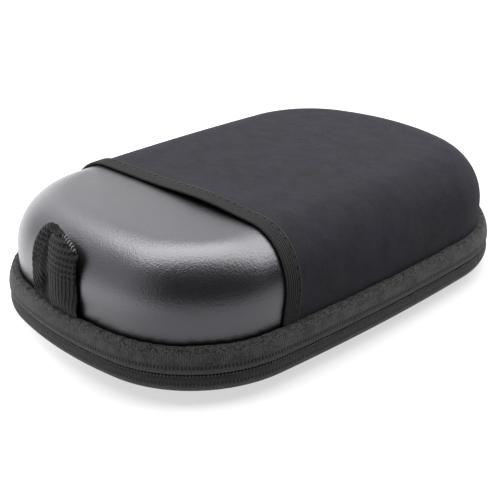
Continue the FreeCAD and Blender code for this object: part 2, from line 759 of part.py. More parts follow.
def base_inner_binding():
    low = D["tray_rim"] + D["tray_seam_lift"]
    high = low + D["seam_thick"]
    inner, outer = -D["tray_seam_inset"], D["tray_seam_reach"]
    return swept_ring("base_inner_binding", [(inner, low), (outer, low), (outer, high), (inner, high)])


def rounded_cut(body, name, centre_x, centre_y, length, width, bend, floor):
    """A round-cornered recess from the insert's top down to floor."""
    sketch = new_sketch(body, name, lift=D["insert_top"])
    x0, x1 = centre_x - length * 0.5, centre_x + length * 0.5
    y0, y1 = centre_y - width * 0.5, centre_y + width * 0.5
    corners = [(x0 + bend, y0), (x1 - bend, y0), (x1, y0 + bend), (x1, y1 - bend),
               (x1 - bend, y1), (x0 + bend, y1), (x0, y1 - bend), (x0, y0 + bend)]
    closed_profile(sketch, corners, {1: bend, 3: bend, 5: bend, 7: bend})
    return cut(body, sketch, D["insert_top"] - floor)


def foam_insert():
    """The moulded foam block, with the monitor's recess, two finger notches and an accessory bay."""
    body = new_body("foam_insert")
    sketch = new_sketch(body, "block", lift=D["insert_foot"])
    outline(sketch, -D["insert_inset"])
    block = pad(body, sketch, D["insert_top"] - D["insert_foot"])
    round_edges(body, block, edges_at(block.Shape, D["insert_top"].value), D["insert_round"])
    rounded_cut(body, "recess", -D["recess_shift"], Size(0), D["recess_length"], D["recess_width"],
                D["recess_round"], D["recess_floor"])
    rounded_cut(body, "bay", D["bay_centre"], Size(0), D["bay_length"], D["bay_width"],
                D["bay_round"], D["bay_floor"])
    notch_width = D["recess_width"] + D["grip_depth"] * 2
    rounded_cut(body, "notches", -D["recess_shift"], Size(0), D["grip_length"], notch_width,
                D["grip_round"], D["grip_floor"])
    return body


# ---------------------------------------------------------------- sliders

def slider_place(side):
    """Where a parked slider's middle sits. It is turned to the chord of its travel along the bowed end."""
    bow = D["far_radius"].value
    spot_turn = math.asin((D["slider_gap"].value + D["slider_length"].value / 2) / bow)
    chord_turn = spot_turn + D["slider_travel"].value / (2 * bow)
    back_off = bow * (1 - math.cos(spot_turn))
    spot = Vector(D["half_length"].value - back_off, bow * math.sin(spot_turn) * side, 0)
    return Placement(spot, Rotation(Vector(0, 0, 1), math.degrees(chord_turn) * side))


def zip_slider(label, side):
    """Front plate, neck, back plate and bail as one casting, built round X = 0 and then placed."""
    body = new_body(label)
    half = D["slider_length"] * 0.5
    front = D["slider_front"]

    def plate(name, near, far, half_length, half_height):
        sketch = new_sketch(body, name, lift=D["zip_height"] - half_height)
        rectangle(sketch, near, far, -half_length, half_length)
        return pad(body, sketch, half_height * 2)

    plate("front", front, front + D["slider_plate"], half, D["slider_height"] * 0.5)
    bite = D["slider_bite"]
    plate("neck", D["back_plate"] - bite, front + bite, D["neck_length"] * 0.5, D["neck_height"] * 0.5)
    plate("back", Size(0), D["back_plate"], half, D["back_height"] * 0.5)
    foot = front + D["slider_plate"]
    bail_half = D["bail_length"] * 0.5
    wire = D["bail_wire"]
    plate("bail", foot - bite, foot + D["bail_height"], bail_half, wire * 0.5)
    window = new_sketch(body, "window", lift=D["zip_height"] - wire)
    rectangle(window, foot, foot + D["bail_height"] - wire, wire - bail_half, bail_half - wire)
    cut(body, window, wire * 2, backwards=True)
    body.Placement = slider_place(side)
    return body


def pull_sketch(body, name, inner_face):
    """A sketch on the plane of a pull tab's face, upright and along the zipper."""
    return new_sketch(body, name, "YZ_Plane", lift=inner_face)


def along(side, near, far):
    """A span along Y, mirrored for the left-hand slider."""
    return (near, far) if side > 0 else (-far, -near)


def pull_tab(label, side):
    """A flat tab that lies along the band. The bail stands through its opening."""
    body = new_body(label)
    inner_face = D["slider_front"] + D["slider_plate"] + D["pull_clear"]
    start = -(D["bail_length"] * 0.5 + D["eye_clear"] + D["eye_bar"])
    middle = D["zip_height"]
    half = D["pull_height"] * 0.5
    sketch = pull_sketch(body, "tab", inner_face)
    rectangle(sketch, *along(side, start, start + D["pull_length"]), middle - half, middle + half)
    pad(body, sketch, D["pull_thick"])
    eye = pull_sketch(body, "eye", inner_face)
    near = start + D["eye_bar"]
    rectangle(eye, *along(side, near, near + D["eye_reach"]), middle - D["eye_half"], middle + D["eye_half"])
    cut(body, eye, D["pull_thick"] * 3, midplane=True)
    body.Placement = slider_place(side)
    return body


def pull_sleeve(label, side):
    """The soft sleeve that is moulded over the tab's free end."""
    body = new_body(label)
    inner_face = D["slider_front"] + D["slider_plate"] + D["pull_clear"]
    wrap = (D["sleeve_thick"] - D["pull_thick"]) * 0.5
    tab_end = D["pull_length"] - (D["bail_length"] * 0.5 + D["eye_clear"] + D["eye_bar"])
    sleeve_end = tab_end + D["sleeve_end"]
    middle = D["zip_height"]
    half = D["sleeve_height"] * 0.5
    sketch = pull_sketch(body, "sleeve", inner_face - wrap)
    rectangle(sketch, *along(side, sleeve_end - D["sleeve_length"], sleeve_end),
              middle - half, middle + half)
    pad(body, sketch, D["sleeve_thick"])
    slot = pull_sketch(body, "slot", inner_face)
    rectangle(slot, *along(side, tab_end - D["sleeve_length"], tab_end),
              middle - D["pull_height"] * 0.5, middle + D["pull_height"] * 0.5)
    cut(body, slot, D["pull_thick"], backwards=True)
    body.Placement = slider_place(side)
    return body


# ---------------------------------------------------------------- the whole case

def build():
    """Every sub-part, as a list of bodies."""
    hinge_face = D["band_stand"] + D["layer_gap"]
    lining_face = D["hinge_lining_stand"]
    parts = [lid_skin(), lid_shell(), lid_lining(), stretch_pocket(), pocket_binding(), upper_zipper_tape(),
             lid_inner_binding(), mesh_pocket(), mesh_pocket_trim(), webbing_loop(),
             base_skin(), base_shell(), base_lining(), lower_zipper_tape(), base_inner_binding(),
             foam_insert()]
    for half, side in (("upper", 1), ("lower", -1)):
        parts.append(coil(f"{half}_zipper_coil", side))
        parts.append(end_stops(f"{half}_zipper_stops", side))
        parts.append(hinge_strip(f"{half}_hinge_tape", side, hinge_face, D["hinge_reach"]))
        parts.append(hinge_strip(f"{half}_hinge_lining", side, lining_face, D["hinge_lining_reach"]))
    for hand, side in (("right", 1), ("left", -1)):
        parts.append(zip_slider(f"{hand}_slider", side))
        parts.append(pull_tab(f"{hand}_pull_tab", side))
        parts.append(pull_sleeve(f"{hand}_pull_sleeve", side))
    return parts


def check(parts):
    """Stops if any object failed, or if a sub-part has no valid solid."""
    DOC.recompute()
    failed = [o.Name for o in DOC.Objects if "Invalid" in o.State or "Error" in o.State]
    if failed:
        raise RuntimeError(f"failed objects: {failed}")
    for body in parts:
        if body.Shape.isNull() or not body.Shape.isValid() or not body.Shape.Solids:
            raise RuntimeError(f"{body.Label} has no valid solid")


def export(parts):
    os.makedirs("parts", exist_ok=True)
    for body in parts:
        body.Shape.exportStep(os.path.join("parts", f"{body.Label}.step"))
        box = body.Shape.optimalBoundingBox(False)
        print(f"{body.Label:22} {box.XLength:7.2f} {box.YLength:7.2f} {box.ZLength:7.2f} mm")


case_parts = build()
check(case_parts)
export(case_parts)
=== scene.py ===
"""Looks of a moulded zip-up carry case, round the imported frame. Lengths are in mm until a mesh is made."""
import math
from contextlib import contextmanager

import bmesh
import bpy
import numpy as np
from mathutils import Matrix, Vector


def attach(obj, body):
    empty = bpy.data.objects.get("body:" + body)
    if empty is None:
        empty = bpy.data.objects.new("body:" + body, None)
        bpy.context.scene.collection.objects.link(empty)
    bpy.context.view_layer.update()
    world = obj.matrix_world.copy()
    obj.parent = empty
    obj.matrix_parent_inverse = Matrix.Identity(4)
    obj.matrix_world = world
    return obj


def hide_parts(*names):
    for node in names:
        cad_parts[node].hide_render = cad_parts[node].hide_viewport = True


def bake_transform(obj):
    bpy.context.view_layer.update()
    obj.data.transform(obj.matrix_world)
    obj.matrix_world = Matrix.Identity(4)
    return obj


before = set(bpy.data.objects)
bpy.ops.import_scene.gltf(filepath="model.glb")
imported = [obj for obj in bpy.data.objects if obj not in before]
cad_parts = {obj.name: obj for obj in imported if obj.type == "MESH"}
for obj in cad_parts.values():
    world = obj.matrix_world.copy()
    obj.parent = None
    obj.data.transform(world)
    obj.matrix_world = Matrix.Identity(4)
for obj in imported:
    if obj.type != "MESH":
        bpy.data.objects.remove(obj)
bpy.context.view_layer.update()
MM = 0.001
TAU = 2 * math.pi

# ------------------------------------------------------------------ the case's plan

HALF_LENGTH, HALF_WIDTH = 112.0, 76.0
SIDE_BOW = 1010.0
FAR_BOW, FAR_CORNER = 116.0, 55.0
NEAR_BOW, NEAR_CORNER = 193.0, 49.5
ZIP = 12.0
SLIT = 0.28
LID_ROUND, WALL_TOP = 25.0, 32.0


def quarter(bow, corner):
    """Arcs (centre, radius, first, last angle) from the end's middle to the side's middle, end on +X."""
    end, side = np.array([HALF_LENGTH - bow, 0.0]), np.array([0.0, HALF_WIDTH - SIDE_BOW])
    reach_end, reach_side = bow - corner, SIDE_BOW - corner
    apart = side - end
    gap = np.linalg.norm(apart)
    along = (gap ** 2 + reach_end ** 2 - reach_side ** 2) / (2 * gap)
    off = math.sqrt(reach_end ** 2 - along ** 2)
    unit = apart / gap
    across = np.array([-unit[1], unit[0]])
    middle = max((end + unit * along + across * off * s for s in (1, -1)), key=lambda c: c[0] + c[1])
    first = math.atan2(*(middle - end)[::-1])
    second = math.atan2(*(middle - side)[::-1])
    return [(end, bow, 0.0, first), (middle, corner, first, second), (side, SIDE_BOW, second, math.pi / 2)]


class Plan:
    """The outline as a path s along it from the +X end towards +Y, with a stand outwards from it."""

    def __init__(self):
        flip_x = np.array([-1, 1])
        near = quarter(NEAR_BOW, NEAR_CORNER)[::-1]
        near = [(c * flip_x, r, math.pi - b, math.pi - a) for c, r, a, b in near]
        half = quarter(FAR_BOW, FAR_CORNER) + near
        arcs = half + [(c * -flip_x, r, TAU - b, TAU - a) for c, r, a, b in half[::-1]]
        self.centre = np.array([a[0] for a in arcs])
        self.radius = np.array([a[1] for a in arcs])
        self.first = np.array([a[2] for a in arcs])
        lengths = self.radius * (np.array([a[3] for a in arcs]) - self.first)
        self.start = np.concatenate([[0.0], np.cumsum(lengths)[:-1]])
        self.total = float(lengths.sum())

    def turn(self, s):
        s = np.mod(s, self.total)
        i = np.searchsorted(self.start, s, side="right") - 1
        return i, self.first[i] + (s - self.start[i]) / self.radius[i]

    def place(self, s, stand, z):
        """Points for each s (first axis) and each stand and height (last axis)."""
        i, turn = self.turn(np.asarray(s, float))
        stand, z = np.broadcast_arrays(np.asarray(stand, float), np.asarray(z, float))
        if stand.ndim == 1:
            stand, z = stand[None, :], z[None, :]
        reach = self.radius[i][:, None] + stand
        x = self.centre[i, 0][:, None] + reach * np.cos(turn)[:, None]
        y = self.centre[i, 1][:, None] + reach * np.sin(turn)[:, None]
        return np.stack([x, y, np.broadcast_to(z, x.shape)], -1)

    def frames(self, s, stand, z):
        """Origins and axes (along, out, up) at each s."""
        _, turn = self.turn(np.asarray(s, float))
        origin = self.place(s, [stand], [z])[:, 0]
        zero = np.zeros_like(turn)
        along = np.stack([-np.sin(turn), np.cos(turn), zero], -1)
        out = np.stack([np.cos(turn), np.sin(turn), zero], -1)
        up = np.stack([zero, zero, zero + 1], -1)
        return origin, np.stack([along, out, up], 1)


PLAN = Plan()


def steps(first, last, pitch):
    return np.linspace(first, last, max(2, int(round(abs(last - first) / pitch)) + 1))


def around(pitch):
    """Path values all round, without the repeated last one."""
    return np.linspace(0, PLAN.total, int(round(PLAN.total / pitch)), endpoint=False)


def wander(s, waves, size, seed):
    """A smooth unevenness along a path, periodic over the whole outline."""
    draw = np.random.default_rng(seed)
    total = np.zeros_like(s)
    for n in waves:
        total = total + draw.normal() * np.sin(TAU * n * s / PLAN.total + draw.uniform(0, TAU))
    return size * total / math.sqrt(len(waves))


def bend(start, end, radius, count):
    """Points of the short arc from start to end, without its last point. Positive turns anticlockwise."""
    start, end = np.array(start, float), np.array(end, float)
    if not radius:
        return [start]
    chord = end - start
    length = np.linalg.norm(chord)
    left = np.array([-chord[1], chord[0]]) / length
    reach = math.sqrt(max(radius ** 2 - length ** 2 / 4, 0))
    centre = (start + end) / 2 + left * math.copysign(reach, radius)
    a = math.atan2(*(start - centre)[::-1])
    b = math.atan2(*(end - centre)[::-1])
    turn = (b - a) % TAU if radius > 0 else -((a - b) % TAU)
    angles = a + turn * np.linspace(0, 1, count, endpoint=False)
    return [centre + abs(radius) * np.array([math.cos(t), math.sin(t)]) for t in angles]


def chain(*pieces):
    """A profile from (point, radius, count) pieces; the last piece gives the end point only."""
    points = []
    for (start, radius, count), following in zip(pieces, pieces[1:]):
        points += bend(start, following[0], radius, count)
    return np.array(points + [np.array(pieces[-1][0], float)])


def lengths_along(points):
    points = np.asarray(points, float)
    return np.concatenate([[0.0], np.cumsum(np.linalg.norm(np.diff(points, axis=0), axis=-1))])


# ------------------------------------------------------------------ meshes

@contextmanager
def editing(mesh):
    """A bmesh of the mesh, written back when the block ends."""
    bm = bmesh.new()
    bm.from_mesh(mesh)
    yield bm
    bm.to_mesh(mesh)
    bm.free()


def link(name, data):
    """A new object in the scene."""
    obj = bpy.data.objects.new(name, data)
    bpy.context.scene.collection.objects.link(obj)
    return obj


def dress(mesh, material, sharp):
    """One material, and smooth shading apart from edges sharper than an angle in degrees."""
    mesh.materials.clear()
    mesh.materials.append(material)
    mesh.shade_smooth()
    mesh.set_sharp_from_angle(angle=math.radians(sharp))


def unit_vectors(vectors):
    return vectors / np.linalg.norm(vectors, axis=-1, keepdims=True)


def new_object(name, verts, faces, material, uv=None, sharp=50.0):
    """A mesh object from mm points."""
    mesh = bpy.data.meshes.new(name)
    mesh.from_pydata((np.asarray(verts).reshape(-1, 3) * MM).tolist(), [], np.asarray(faces).tolist())
    if uv is not None:
        layer = mesh.uv_layers.new(name="UVMap")
        layer.data.foreach_set("uv", (np.asarray(uv, float) * MM).ravel())
    mesh.validate()
    dress(mesh, material, sharp)
    return link(name, mesh)


def grid(name, points, u, v, material, wrap=False, loop=False, sharp=50.0):
    """A sheet of quads from points[rows, columns]. wrap joins last row to first, loop the columns.

    u and v give the sheet's own lengths, one value more than the rows or columns where it closes.
    """
    rows, cols = points.shape[:2]
    i = np.arange(rows if wrap else rows - 1)[:, None]
    j = np.arange(cols if loop else cols - 1)[None, :]
    corners = ((i, j), (i + 1, j), (i + 1, j + 1), (i, j + 1))
    faces = np.stack([a % rows * cols + b % cols for a, b in corners], -1).reshape(-1, 4)
    u, v = np.asarray(u, float), np.asarray(v, float)
    uv = np.stack([np.stack(np.broadcast_arrays(u[a], v[b]), -1) for a, b in corners], 2).reshape(-1, 4, 2)
    return new_object(name, points, faces, material, uv, sharp)


def sweep(name, s, profile, material, wrap=True, change=None, sharp=50.0):
    """A closed (stand, height) profile along the outline. change(s, stand, z) may make it uneven."""
    profile = np.asarray(profile, float)
    stand, z = (np.tile(column, (len(s), 1)) for column in profile.T)
    if change:
        stand, z = change(s[:, None], stand, z)
    u = np.append(s, s[0] + PLAN.total) if wrap else s
    v = lengths_along(np.vstack([profile, profile[:1]]))
    obj = grid(name, PLAN.place(s, stand, z), u, v, material, wrap, True, sharp)
    if not wrap:
        cap_ends(obj)
    return obj


def cap_ends(obj):
    with editing(obj.data) as bm:
        bmesh.ops.holes_fill(bm, edges=[e for e in bm.edges if e.is_boundary])
        bmesh.ops.recalc_face_normals(bm, faces=bm.faces)


def scatter(name, verts, faces, origins, axes, material):
    """Copies of a small mesh, each at an origin with its own axes, as one object."""
    verts, faces = np.asarray(verts, float), np.asarray(faces)
    points = origins[:, None, :] + np.einsum("vk,nkj->nvj", verts, axes)
    shift = np.arange(len(origins))[:, None, None] * len(verts)
    faces = (faces[None] + shift).reshape(-1, faces.shape[1])
    return new_object(name, points, faces, material, None, 60.0)


def capsule(length, width, height):
    """A thread-like pill along its first axis, as verts and quads; its poles are tiny rings."""
    sides, rings = 6, 4
    t = np.linspace(0.06, math.pi - 0.06, rings + 1)
    verts = []
    for a in t:
        x = -length / 2 * math.copysign(abs(math.cos(a)) ** 0.6, math.cos(a))
        for k in range(sides):
            b = TAU * k / sides
            verts.append((x, height / 2 * math.sin(a) * math.cos(b), width / 2 * math.sin(a) * math.sin(b)))
    faces = []
    for low in range(0, rings * sides, sides):
        for k in range(sides):
            after, up = (k + 1) % sides, low + sides
            faces.append((up + k, up + after, low + after, low + k))
    return verts, faces


def tube(name, path, radius, material, sides=8):
    """A round tube along a fine path; radius is one value or one for each point."""
    path = np.asarray(path, float)
    radius = np.broadcast_to(radius, len(path))[:, None, None]
    ahead = np.roll(path, -1, 0) - np.roll(path, 1, 0)
    ahead[0], ahead[-1] = path[1] - path[0], path[-1] - path[-2]
    ahead = unit_vectors(ahead)
    side = np.cross(ahead, np.array([0.0, 0.0, 1.0]))
    weak = np.linalg.norm(side, axis=1) < 1e-3
    side[weak] = np.cross(ahead[weak], np.array([0.0, 1.0, 0.0]))
    side = unit_vectors(side)
    top = np.cross(side, ahead)
    a = np.linspace(0, TAU, sides, endpoint=False)[None, :, None]
    points = path[:, None] + radius * (np.cos(a) * side[:, None] + np.sin(a) * top[:, None])
    v = np.linspace(0, TAU * radius.max(), sides + 1)
    obj = grid(name, points, lengths_along(path), v, material, loop=True)
    cap_ends(obj)
    return obj


def join(name, *objects):
    """One object from several."""
    with bpy.context.temp_override(active_object=objects[0], selected_editable_objects=list(objects),
                                   selected_objects=list(objects)):
        bpy.ops.object.join()
    objects[0].name = objects[0].data.name = name
    return objects[0]


def put(obj, body, slot, *nodes):
    """Rides the piece on a CAD body and hides the CAD nodes it stands for; slot is not used."""
    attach(obj, body)
    if nodes:
        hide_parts(*nodes)
    return obj


# ------------------------------------------------------------------ materials

class Nodes:
    """A node tree that short calls add to. A fed value is a number, a colour or another node's output."""

    def __init__(self, tree):
        self.tree = tree

    def feed(self, target, value):
        if hasattr(value, "is_output"):
            self.tree.links.new(value, target)
        else:
            target.default_value = value

    def node(self, kind, feeds, **settings):
        """A new node with its settings, and its inputs fed by name or number."""
        made = self.tree.nodes.new(kind)
        for key, value in settings.items():
            setattr(made, key, value)
        for key, value in feeds.items():
            self.feed(made.inputs[key], value)
        return made

    def math(self, operation, a, b=0.0, clamp=False):
        return self.node("ShaderNodeMath", {0: a, 1: b}, operation=operation, use_clamp=clamp).outputs[0]

    def plus(self, a, b, clamp=False):
        return self.math("ADD", a, b, clamp)

    def minus(self, a, b, clamp=False):
        return self.math("SUBTRACT", a, b, clamp)

    def times(self, a, b):
        return self.math("MULTIPLY", a, b)

    def shares(self, a, of_a, b, of_b, clamp=False):
        """A sum of two values, each times its share."""
        return self.plus(self.times(a, of_a), self.times(b, of_b), clamp)

    def toward(self, where, direction):
        """How far a place lies along a direction."""
        made = self.node("ShaderNodeVectorMath", {0: where, 1: direction}, operation="DOT_PRODUCT")
        return made.outputs["Value"]

    def ramp(self, value, low, high, start=0.0, end=1.0):
        """Goes smoothly from start to end as the value goes from low to high."""
        feeds = {"Value": value, "From Min": low, "From Max": high, "To Min": start, "To Max": end}
        return self.node("ShaderNodeMapRange", feeds, interpolation_type="SMOOTHSTEP").outputs["Result"]

    def between(self, value, one, other, soft):
        """1 between two values in either order, 0 outside, with soft edges."""
        low, high = sorted((one, other))
        rise = self.ramp(value, low - soft, low + soft)
        fall = self.ramp(value, high - soft, high + soft)
        return self.minus(rise, fall, clamp=True)


class Look(Nodes):
    """A procedural material: nodes are added round one Principled shader."""

    def __init__(self, name, color, rough, **sockets):
        self.material = bpy.data.materials.new(name)
        self.material.use_nodes = True
        super().__init__(self.material.node_tree)
        self.shader = self.tree.nodes["Principled BSDF"].inputs
        self.shader["Base Color"].default_value = (*color, 1)
        self.shader["Roughness"].default_value = rough
        for key, value in sockets.items():
            self.shader[key.replace("_", " ")].default_value = value
        self.relief = None

    def object_mm(self):
        """Position in the piece's own space, in mm."""
        coords = self.node("ShaderNodeTexCoord", {}).outputs["Object"]
        return self.node("ShaderNodeVectorMath", {0: coords, "Scale": 1 / MM}, operation="SCALE").outputs[0]

    def uv_mm(self):
        """The sheet's own lengths in mm, as a pair of values."""
        uv = self.node("ShaderNodeUVMap", {}, uv_map="UVMap").outputs[0]
        split = self.node("ShaderNodeSeparateXYZ", {0: uv}).outputs
        return self.times(split[0], 1 / MM), self.times(split[1], 1 / MM)

    def noise(self, size, where=None, detail=2.0, rough=0.5, stretch=None):
        """Soft noise whose features are about size mm across, from 0 to 1."""
        where = self.object_mm() if where is None else where
        if stretch:
            where = self.node("ShaderNodeVectorMath", {0: where, 1: stretch}, operation="MULTIPLY").outputs[0]
        feeds = {"Vector": where, "Scale": 1 / size, "Detail": detail, "Roughness": rough}
        return self.node("ShaderNodeTexNoise", feeds).outputs["Fac"]

    def cells(self, size, feature="F1"):
        feeds = {"Vector": self.object_mm(), "Scale": 1 / size}
        return self.node("ShaderNodeTexVoronoi", feeds, feature=feature).outputs["Distance"]

    def stripe(self, along, pitch, phase=0.0):
        """A wave from 0 to 1 along a length in mm."""
        turned = self.node("ShaderNodeMath", {0: along, 1: TAU / pitch, 2: phase}, operation="MULTIPLY_ADD")
        wave = self.math("SINE", turned.outputs[0])
        return self.node("ShaderNodeMath", {0: wave, 1: 0.5, 2: 0.5}, operation="MULTIPLY_ADD").outputs[0]

    def mix(self, factor, a, b):
        a, b = (value if hasattr(value, "is_output") else (*value, 1) for value in (a, b))
        return self.node("ShaderNodeMix", {"Factor": factor, 6: a, 7: b}, data_type="RGBA").outputs[2]

    def paint(self, color):
        self.feed(self.shader["Base Color"], color)

    def color(self, factor, dark, light):
        self.paint(self.mix(factor, dark, light))

    def rough(self, factor, low, high):
        self.feed(self.shader["Roughness"], self.ramp(factor, 0, 1, low, high))

    def bump(self, height, depth, strength):
        """Adds relief to what is there: height runs from 0 to 1 and depth is in mm."""
        feeds = {"Strength": strength, "Distance": depth * MM, "Height": height}
        if self.relief:
            feeds["Normal"] = self.relief
        self.relief = self.node("ShaderNodeBump", feeds).outputs[0]
        self.feed(self.shader["Normal"], self.relief)


# The elastic binding, in mm from its mouth edge: cords, then the needle row, then a ridge.
BINDING_WIDTH, BINDING_EDGE = 7.5, 0.55
CORD_PITCH, CORDS_END = 1.03, 5.7
NEEDLE_ROW, RIDGE = 6.15, 6.95
STITCH_START, STITCH_PITCH, STITCH_LENGTH, STITCH_STAND = 3.0, 4.4, 3.5, 0.62
# The zipper tapes: the row of dashes beside the zipper and the rolled edge.
DASH_PITCH, DASH_ROW, ROLLED_EDGE = 1.38, 3.9, 3.4
HALVES = (("upper", 1, "lid"), ("lower", -1, "base"))


def grey(value):
    return (value, value, value)


def skin_look():
    """Coated moulded skin: almost black, satin, with a fine pebble grain."""
    look = Look("moulded_skin", (0.004, 0.004, 0.0045), 0.36, Specular_IOR_Level=1.0,
                Specular_Tint=(0.94, 0.925, 1.0, 1))
    broad = look.noise(14.0)
    look.color(broad, (0.0034, 0.0033, 0.0040), (0.0046, 0.0045, 0.0054))
    look.rough(broad, 0.30, 0.36)
    look.bump(look.cells(0.65, "SMOOTH_F1"), 0.07, 0.7)
    look.bump(look.noise(1.0, detail=3.0, rough=0.65), 0.13, 0.8)
    look.bump(look.noise(22.0, detail=1.0), 0.35, 0.35)
    return look.material


def knit_look():
    """Matt stretch cloth: a fine knit with a faint nap and a few light specks."""
    look = Look("stretch_fabric", (0.01, 0.01, 0.0115), 0.92, Sheen_Weight=0.03, Specular_IOR_Level=0.08,
                Sheen_Tint=(0.62, 0.62, 0.68, 1))
    where = look.object_mm()
    wales = look.noise(0.7, where, 2.0, 0.55, (1.0, 0.5, 0.5))
    patch = look.noise(24.0, where, 3.0, 0.6)
    crease = look.noise(7.0, where, 4.0, 0.65, (1.0, 0.6, 0.6))
    specks = look.ramp(look.noise(1.9, where, 2.0, 0.7), 0.68, 0.78)
    # Painted shade, partly: the tone follows the wale and crease relief, darker in their hollows; the patch
    # tint is random.
    tone = look.ramp(look.shares(wales, 0.45, crease, 0.55), 0.25, 0.75)
    cool = look.mix(tone, (0.0155, 0.0146, 0.0198), (0.0262, 0.0247, 0.0330))
    plain = look.mix(tone, (0.0150, 0.0144, 0.0172), (0.0252, 0.0244, 0.0284))
    base = look.mix(look.ramp(patch, 0.35, 0.65), plain, cool)
    look.color(look.times(specks, 0.3), base, (0.05, 0.05, 0.052))
    look.bump(wales, 0.16, 0.8)
    look.bump(crease, 0.5, 0.5)
    return look.material


def binding_look():
    """Ribbed elastic: fine cords along its length and a needle row near its back edge, with painted shade in
    the cord grooves and needle holes and a painted highlight on its ridge.
    """
    look = Look("elastic_binding", grey(0.012), 0.85, Sheen_Weight=0.05, Specular_IOR_Level=0.3)
    u, v = look.uv_mm()
    cords = look.stripe(v, CORD_PITCH, math.pi / 2)
    grain = look.noise(0.6, detail=3.0, rough=0.7)
    # Painted shade: the tone is darker in the grooves between the raised cords.
    tone = look.ramp(look.shares(cords, 0.5, grain, 0.5), 0.25, 0.8)
    base = look.mix(tone, (0.004, 0.004, 0.0042), (0.020, 0.020, 0.0206))
    # Painted highlight: a lighter line along the raised ridge behind the needle row.
    behind = look.between(v, RIDGE - 0.2, RIDGE + 0.2, 0.12)
    base = look.mix(behind, base, (0.035, 0.035, 0.036))
    phase = math.pi / 2 - TAU * (STITCH_START + STITCH_PITCH / 2) / STITCH_PITCH
    in_row = look.between(v, NEEDLE_ROW - 0.5, NEEDLE_ROW + 0.5, 0.1)
    # Painted shade: the needle holes are painted almost black.
    holes = look.times(look.ramp(look.stripe(u, STITCH_PITCH, phase), 0.78, 0.90), in_row)
    look.color(holes, base, grey(0.0005))
    look.bump(look.stripe(u, 0.8), 0.06, 0.6)
    look.bump(grain, 0.14, 0.7)
    look.bump(holes, -0.5, 0.9)
    return look.material


def tape_look(name, zipper_v, top_v, painted_shade_brightness=1.0):
    """Zipper tape: fine upright ribs, a fuzzy rolled edge at top_v and a row of dashes beside the zipper."""
    look = Look(name, (0.02, 0.02, 0.021), 0.85, Sheen_Weight=0.06, Specular_IOR_Level=0.35)
    u, v = look.uv_mm()
    away = math.copysign(1, top_v - zipper_v)
    roll_starts = top_v - away * ROLLED_EDGE
    fuzz = look.noise(0.8, detail=3.0, rough=0.7)
    mottle = look.noise(6.0, detail=3.0)
    near_top = look.between(v, roll_starts, top_v + away * 4.0, 0.8)
    in_ribs = look.between(v, zipper_v + away * 4.6, roll_starts, 0.6)
    in_row = look.between(v, zipper_v + away * 2.7, zipper_v + away * 4.2, 0.18)
    # Painted shade: the dashes beside the zipper are pits painted almost black.
    shaded_pits = look.times(in_row, look.ramp(look.stripe(u, DASH_PITCH), 0.3, 0.6))
    raised = look.times(look.times(look.stripe(u, 0.9), in_ribs), look.ramp(mottle, 0.35, 0.6))
    nap = look.times(look.minus(fuzz, 0.5), look.ramp(near_top, 0, 1, 1.0, 4.2))
    # Painted shade: the raised ribs are painted lighter than the hollows between them; nap and mottle are
    # random tone.
    tone = look.plus(look.times(raised, 0.22), look.plus(nap, 0.4))
    tone = look.ramp(look.plus(tone, look.times(mottle, 0.2)), 0.2, 0.95)
    # painted_shade_brightness darkens a whole tape as painted shade.
    base = look.mix(tone, grey(0.009 * painted_shade_brightness), grey(0.060 * painted_shade_brightness))
    look.color(shaded_pits, base, grey(0.002))
    look.bump(raised, 0.14, 0.7)
    look.bump(nap, 0.3, 0.85)
    look.bump(shaded_pits, -0.35, 0.8)
    return look.material


def strap_look(name, columns, rows, turn, light):
    """Coarse strap: slots in wavy columns low down and in rows near the fold, painted dark as shade in them.
    Pitches in mm.
    """
    look = Look(name, light, 0.8, Sheen_Weight=0.02, Specular_IOR_Level=0.22)
    u, v = look.uv_mm()
    wobble = look.noise(2.6)
    column = look.stripe(look.plus(u, look.shares(v, turn, wobble, 1.3)), columns)
    v = look.plus(v, look.times(wobble, 0.9))
    row = look.stripe(v, rows)
    slots = look.times(row, look.plus(look.times(column, 0.5), 0.5))
    plain = look.times(column, look.plus(look.times(row, 0.35), 0.65))
    change = look.times(look.minus(slots, plain), look.ramp(v, 36.0, 44.0))
    shaded_pits = look.plus(plain, change, clamp=True)
    fibre = look.noise(0.7, detail=3.0, rough=0.75)
    tone = look.plus(shaded_pits, look.times(fibre, 0.7))
    # Painted shade: the pits are painted almost black; the fibre noise is random tone.
    look.color(look.ramp(tone, 0.34, 0.70), light, tuple(c * 0.03 for c in light))
    look.bump(look.ramp(shaded_pits, 0.2, 0.8), -0.8, 1.0)
    look.bump(fibre, 0.25, 0.8)
    return look.material


def weave_look(name, warp, weft, dark, light, depth):
    """Plain-woven strap: raised warp and weft crowns in a checked order. Pitches and depth in mm."""
    look = Look(name, light, 0.75, Sheen_Weight=0.12)
    u, v = look.uv_mm()
    crowns = look.times(look.plus(look.stripe(u, warp), look.stripe(v, weft)), 0.5)
    check = look.math("ABSOLUTE", look.minus(look.stripe(u, warp * 2), look.stripe(v, weft * 2)))
    height = look.shares(crowns, 0.65, check, 0.35)
    fibre = look.noise(0.4, detail=3.0, rough=0.7)
    # Painted shade: the colour follows the weave's height, darker between the raised crowns.
    look.color(look.ramp(look.shares(height, 0.8, fibre, 0.3, clamp=True), 0.2, 0.95), dark, light)
    look.bump(height, depth, 0.9)
    look.bump(fibre, 0.08, 0.6)
    return look.material


def fleece_look(name, dark, light, size=0.8):
    """Brushed cloth or flocked foam: short nap with soft patches."""
    look = Look(name, light, 0.95, Sheen_Weight=0.3)
    nap = look.noise(size, detail=4.0, rough=0.75)
    look.color(look.times(look.plus(nap, look.noise(18.0)), 0.5), dark, light)
    look.bump(nap, 0.3, 0.7)
    look.bump(look.cells(size * 1.6), 0.15, 0.5)
    return look.material


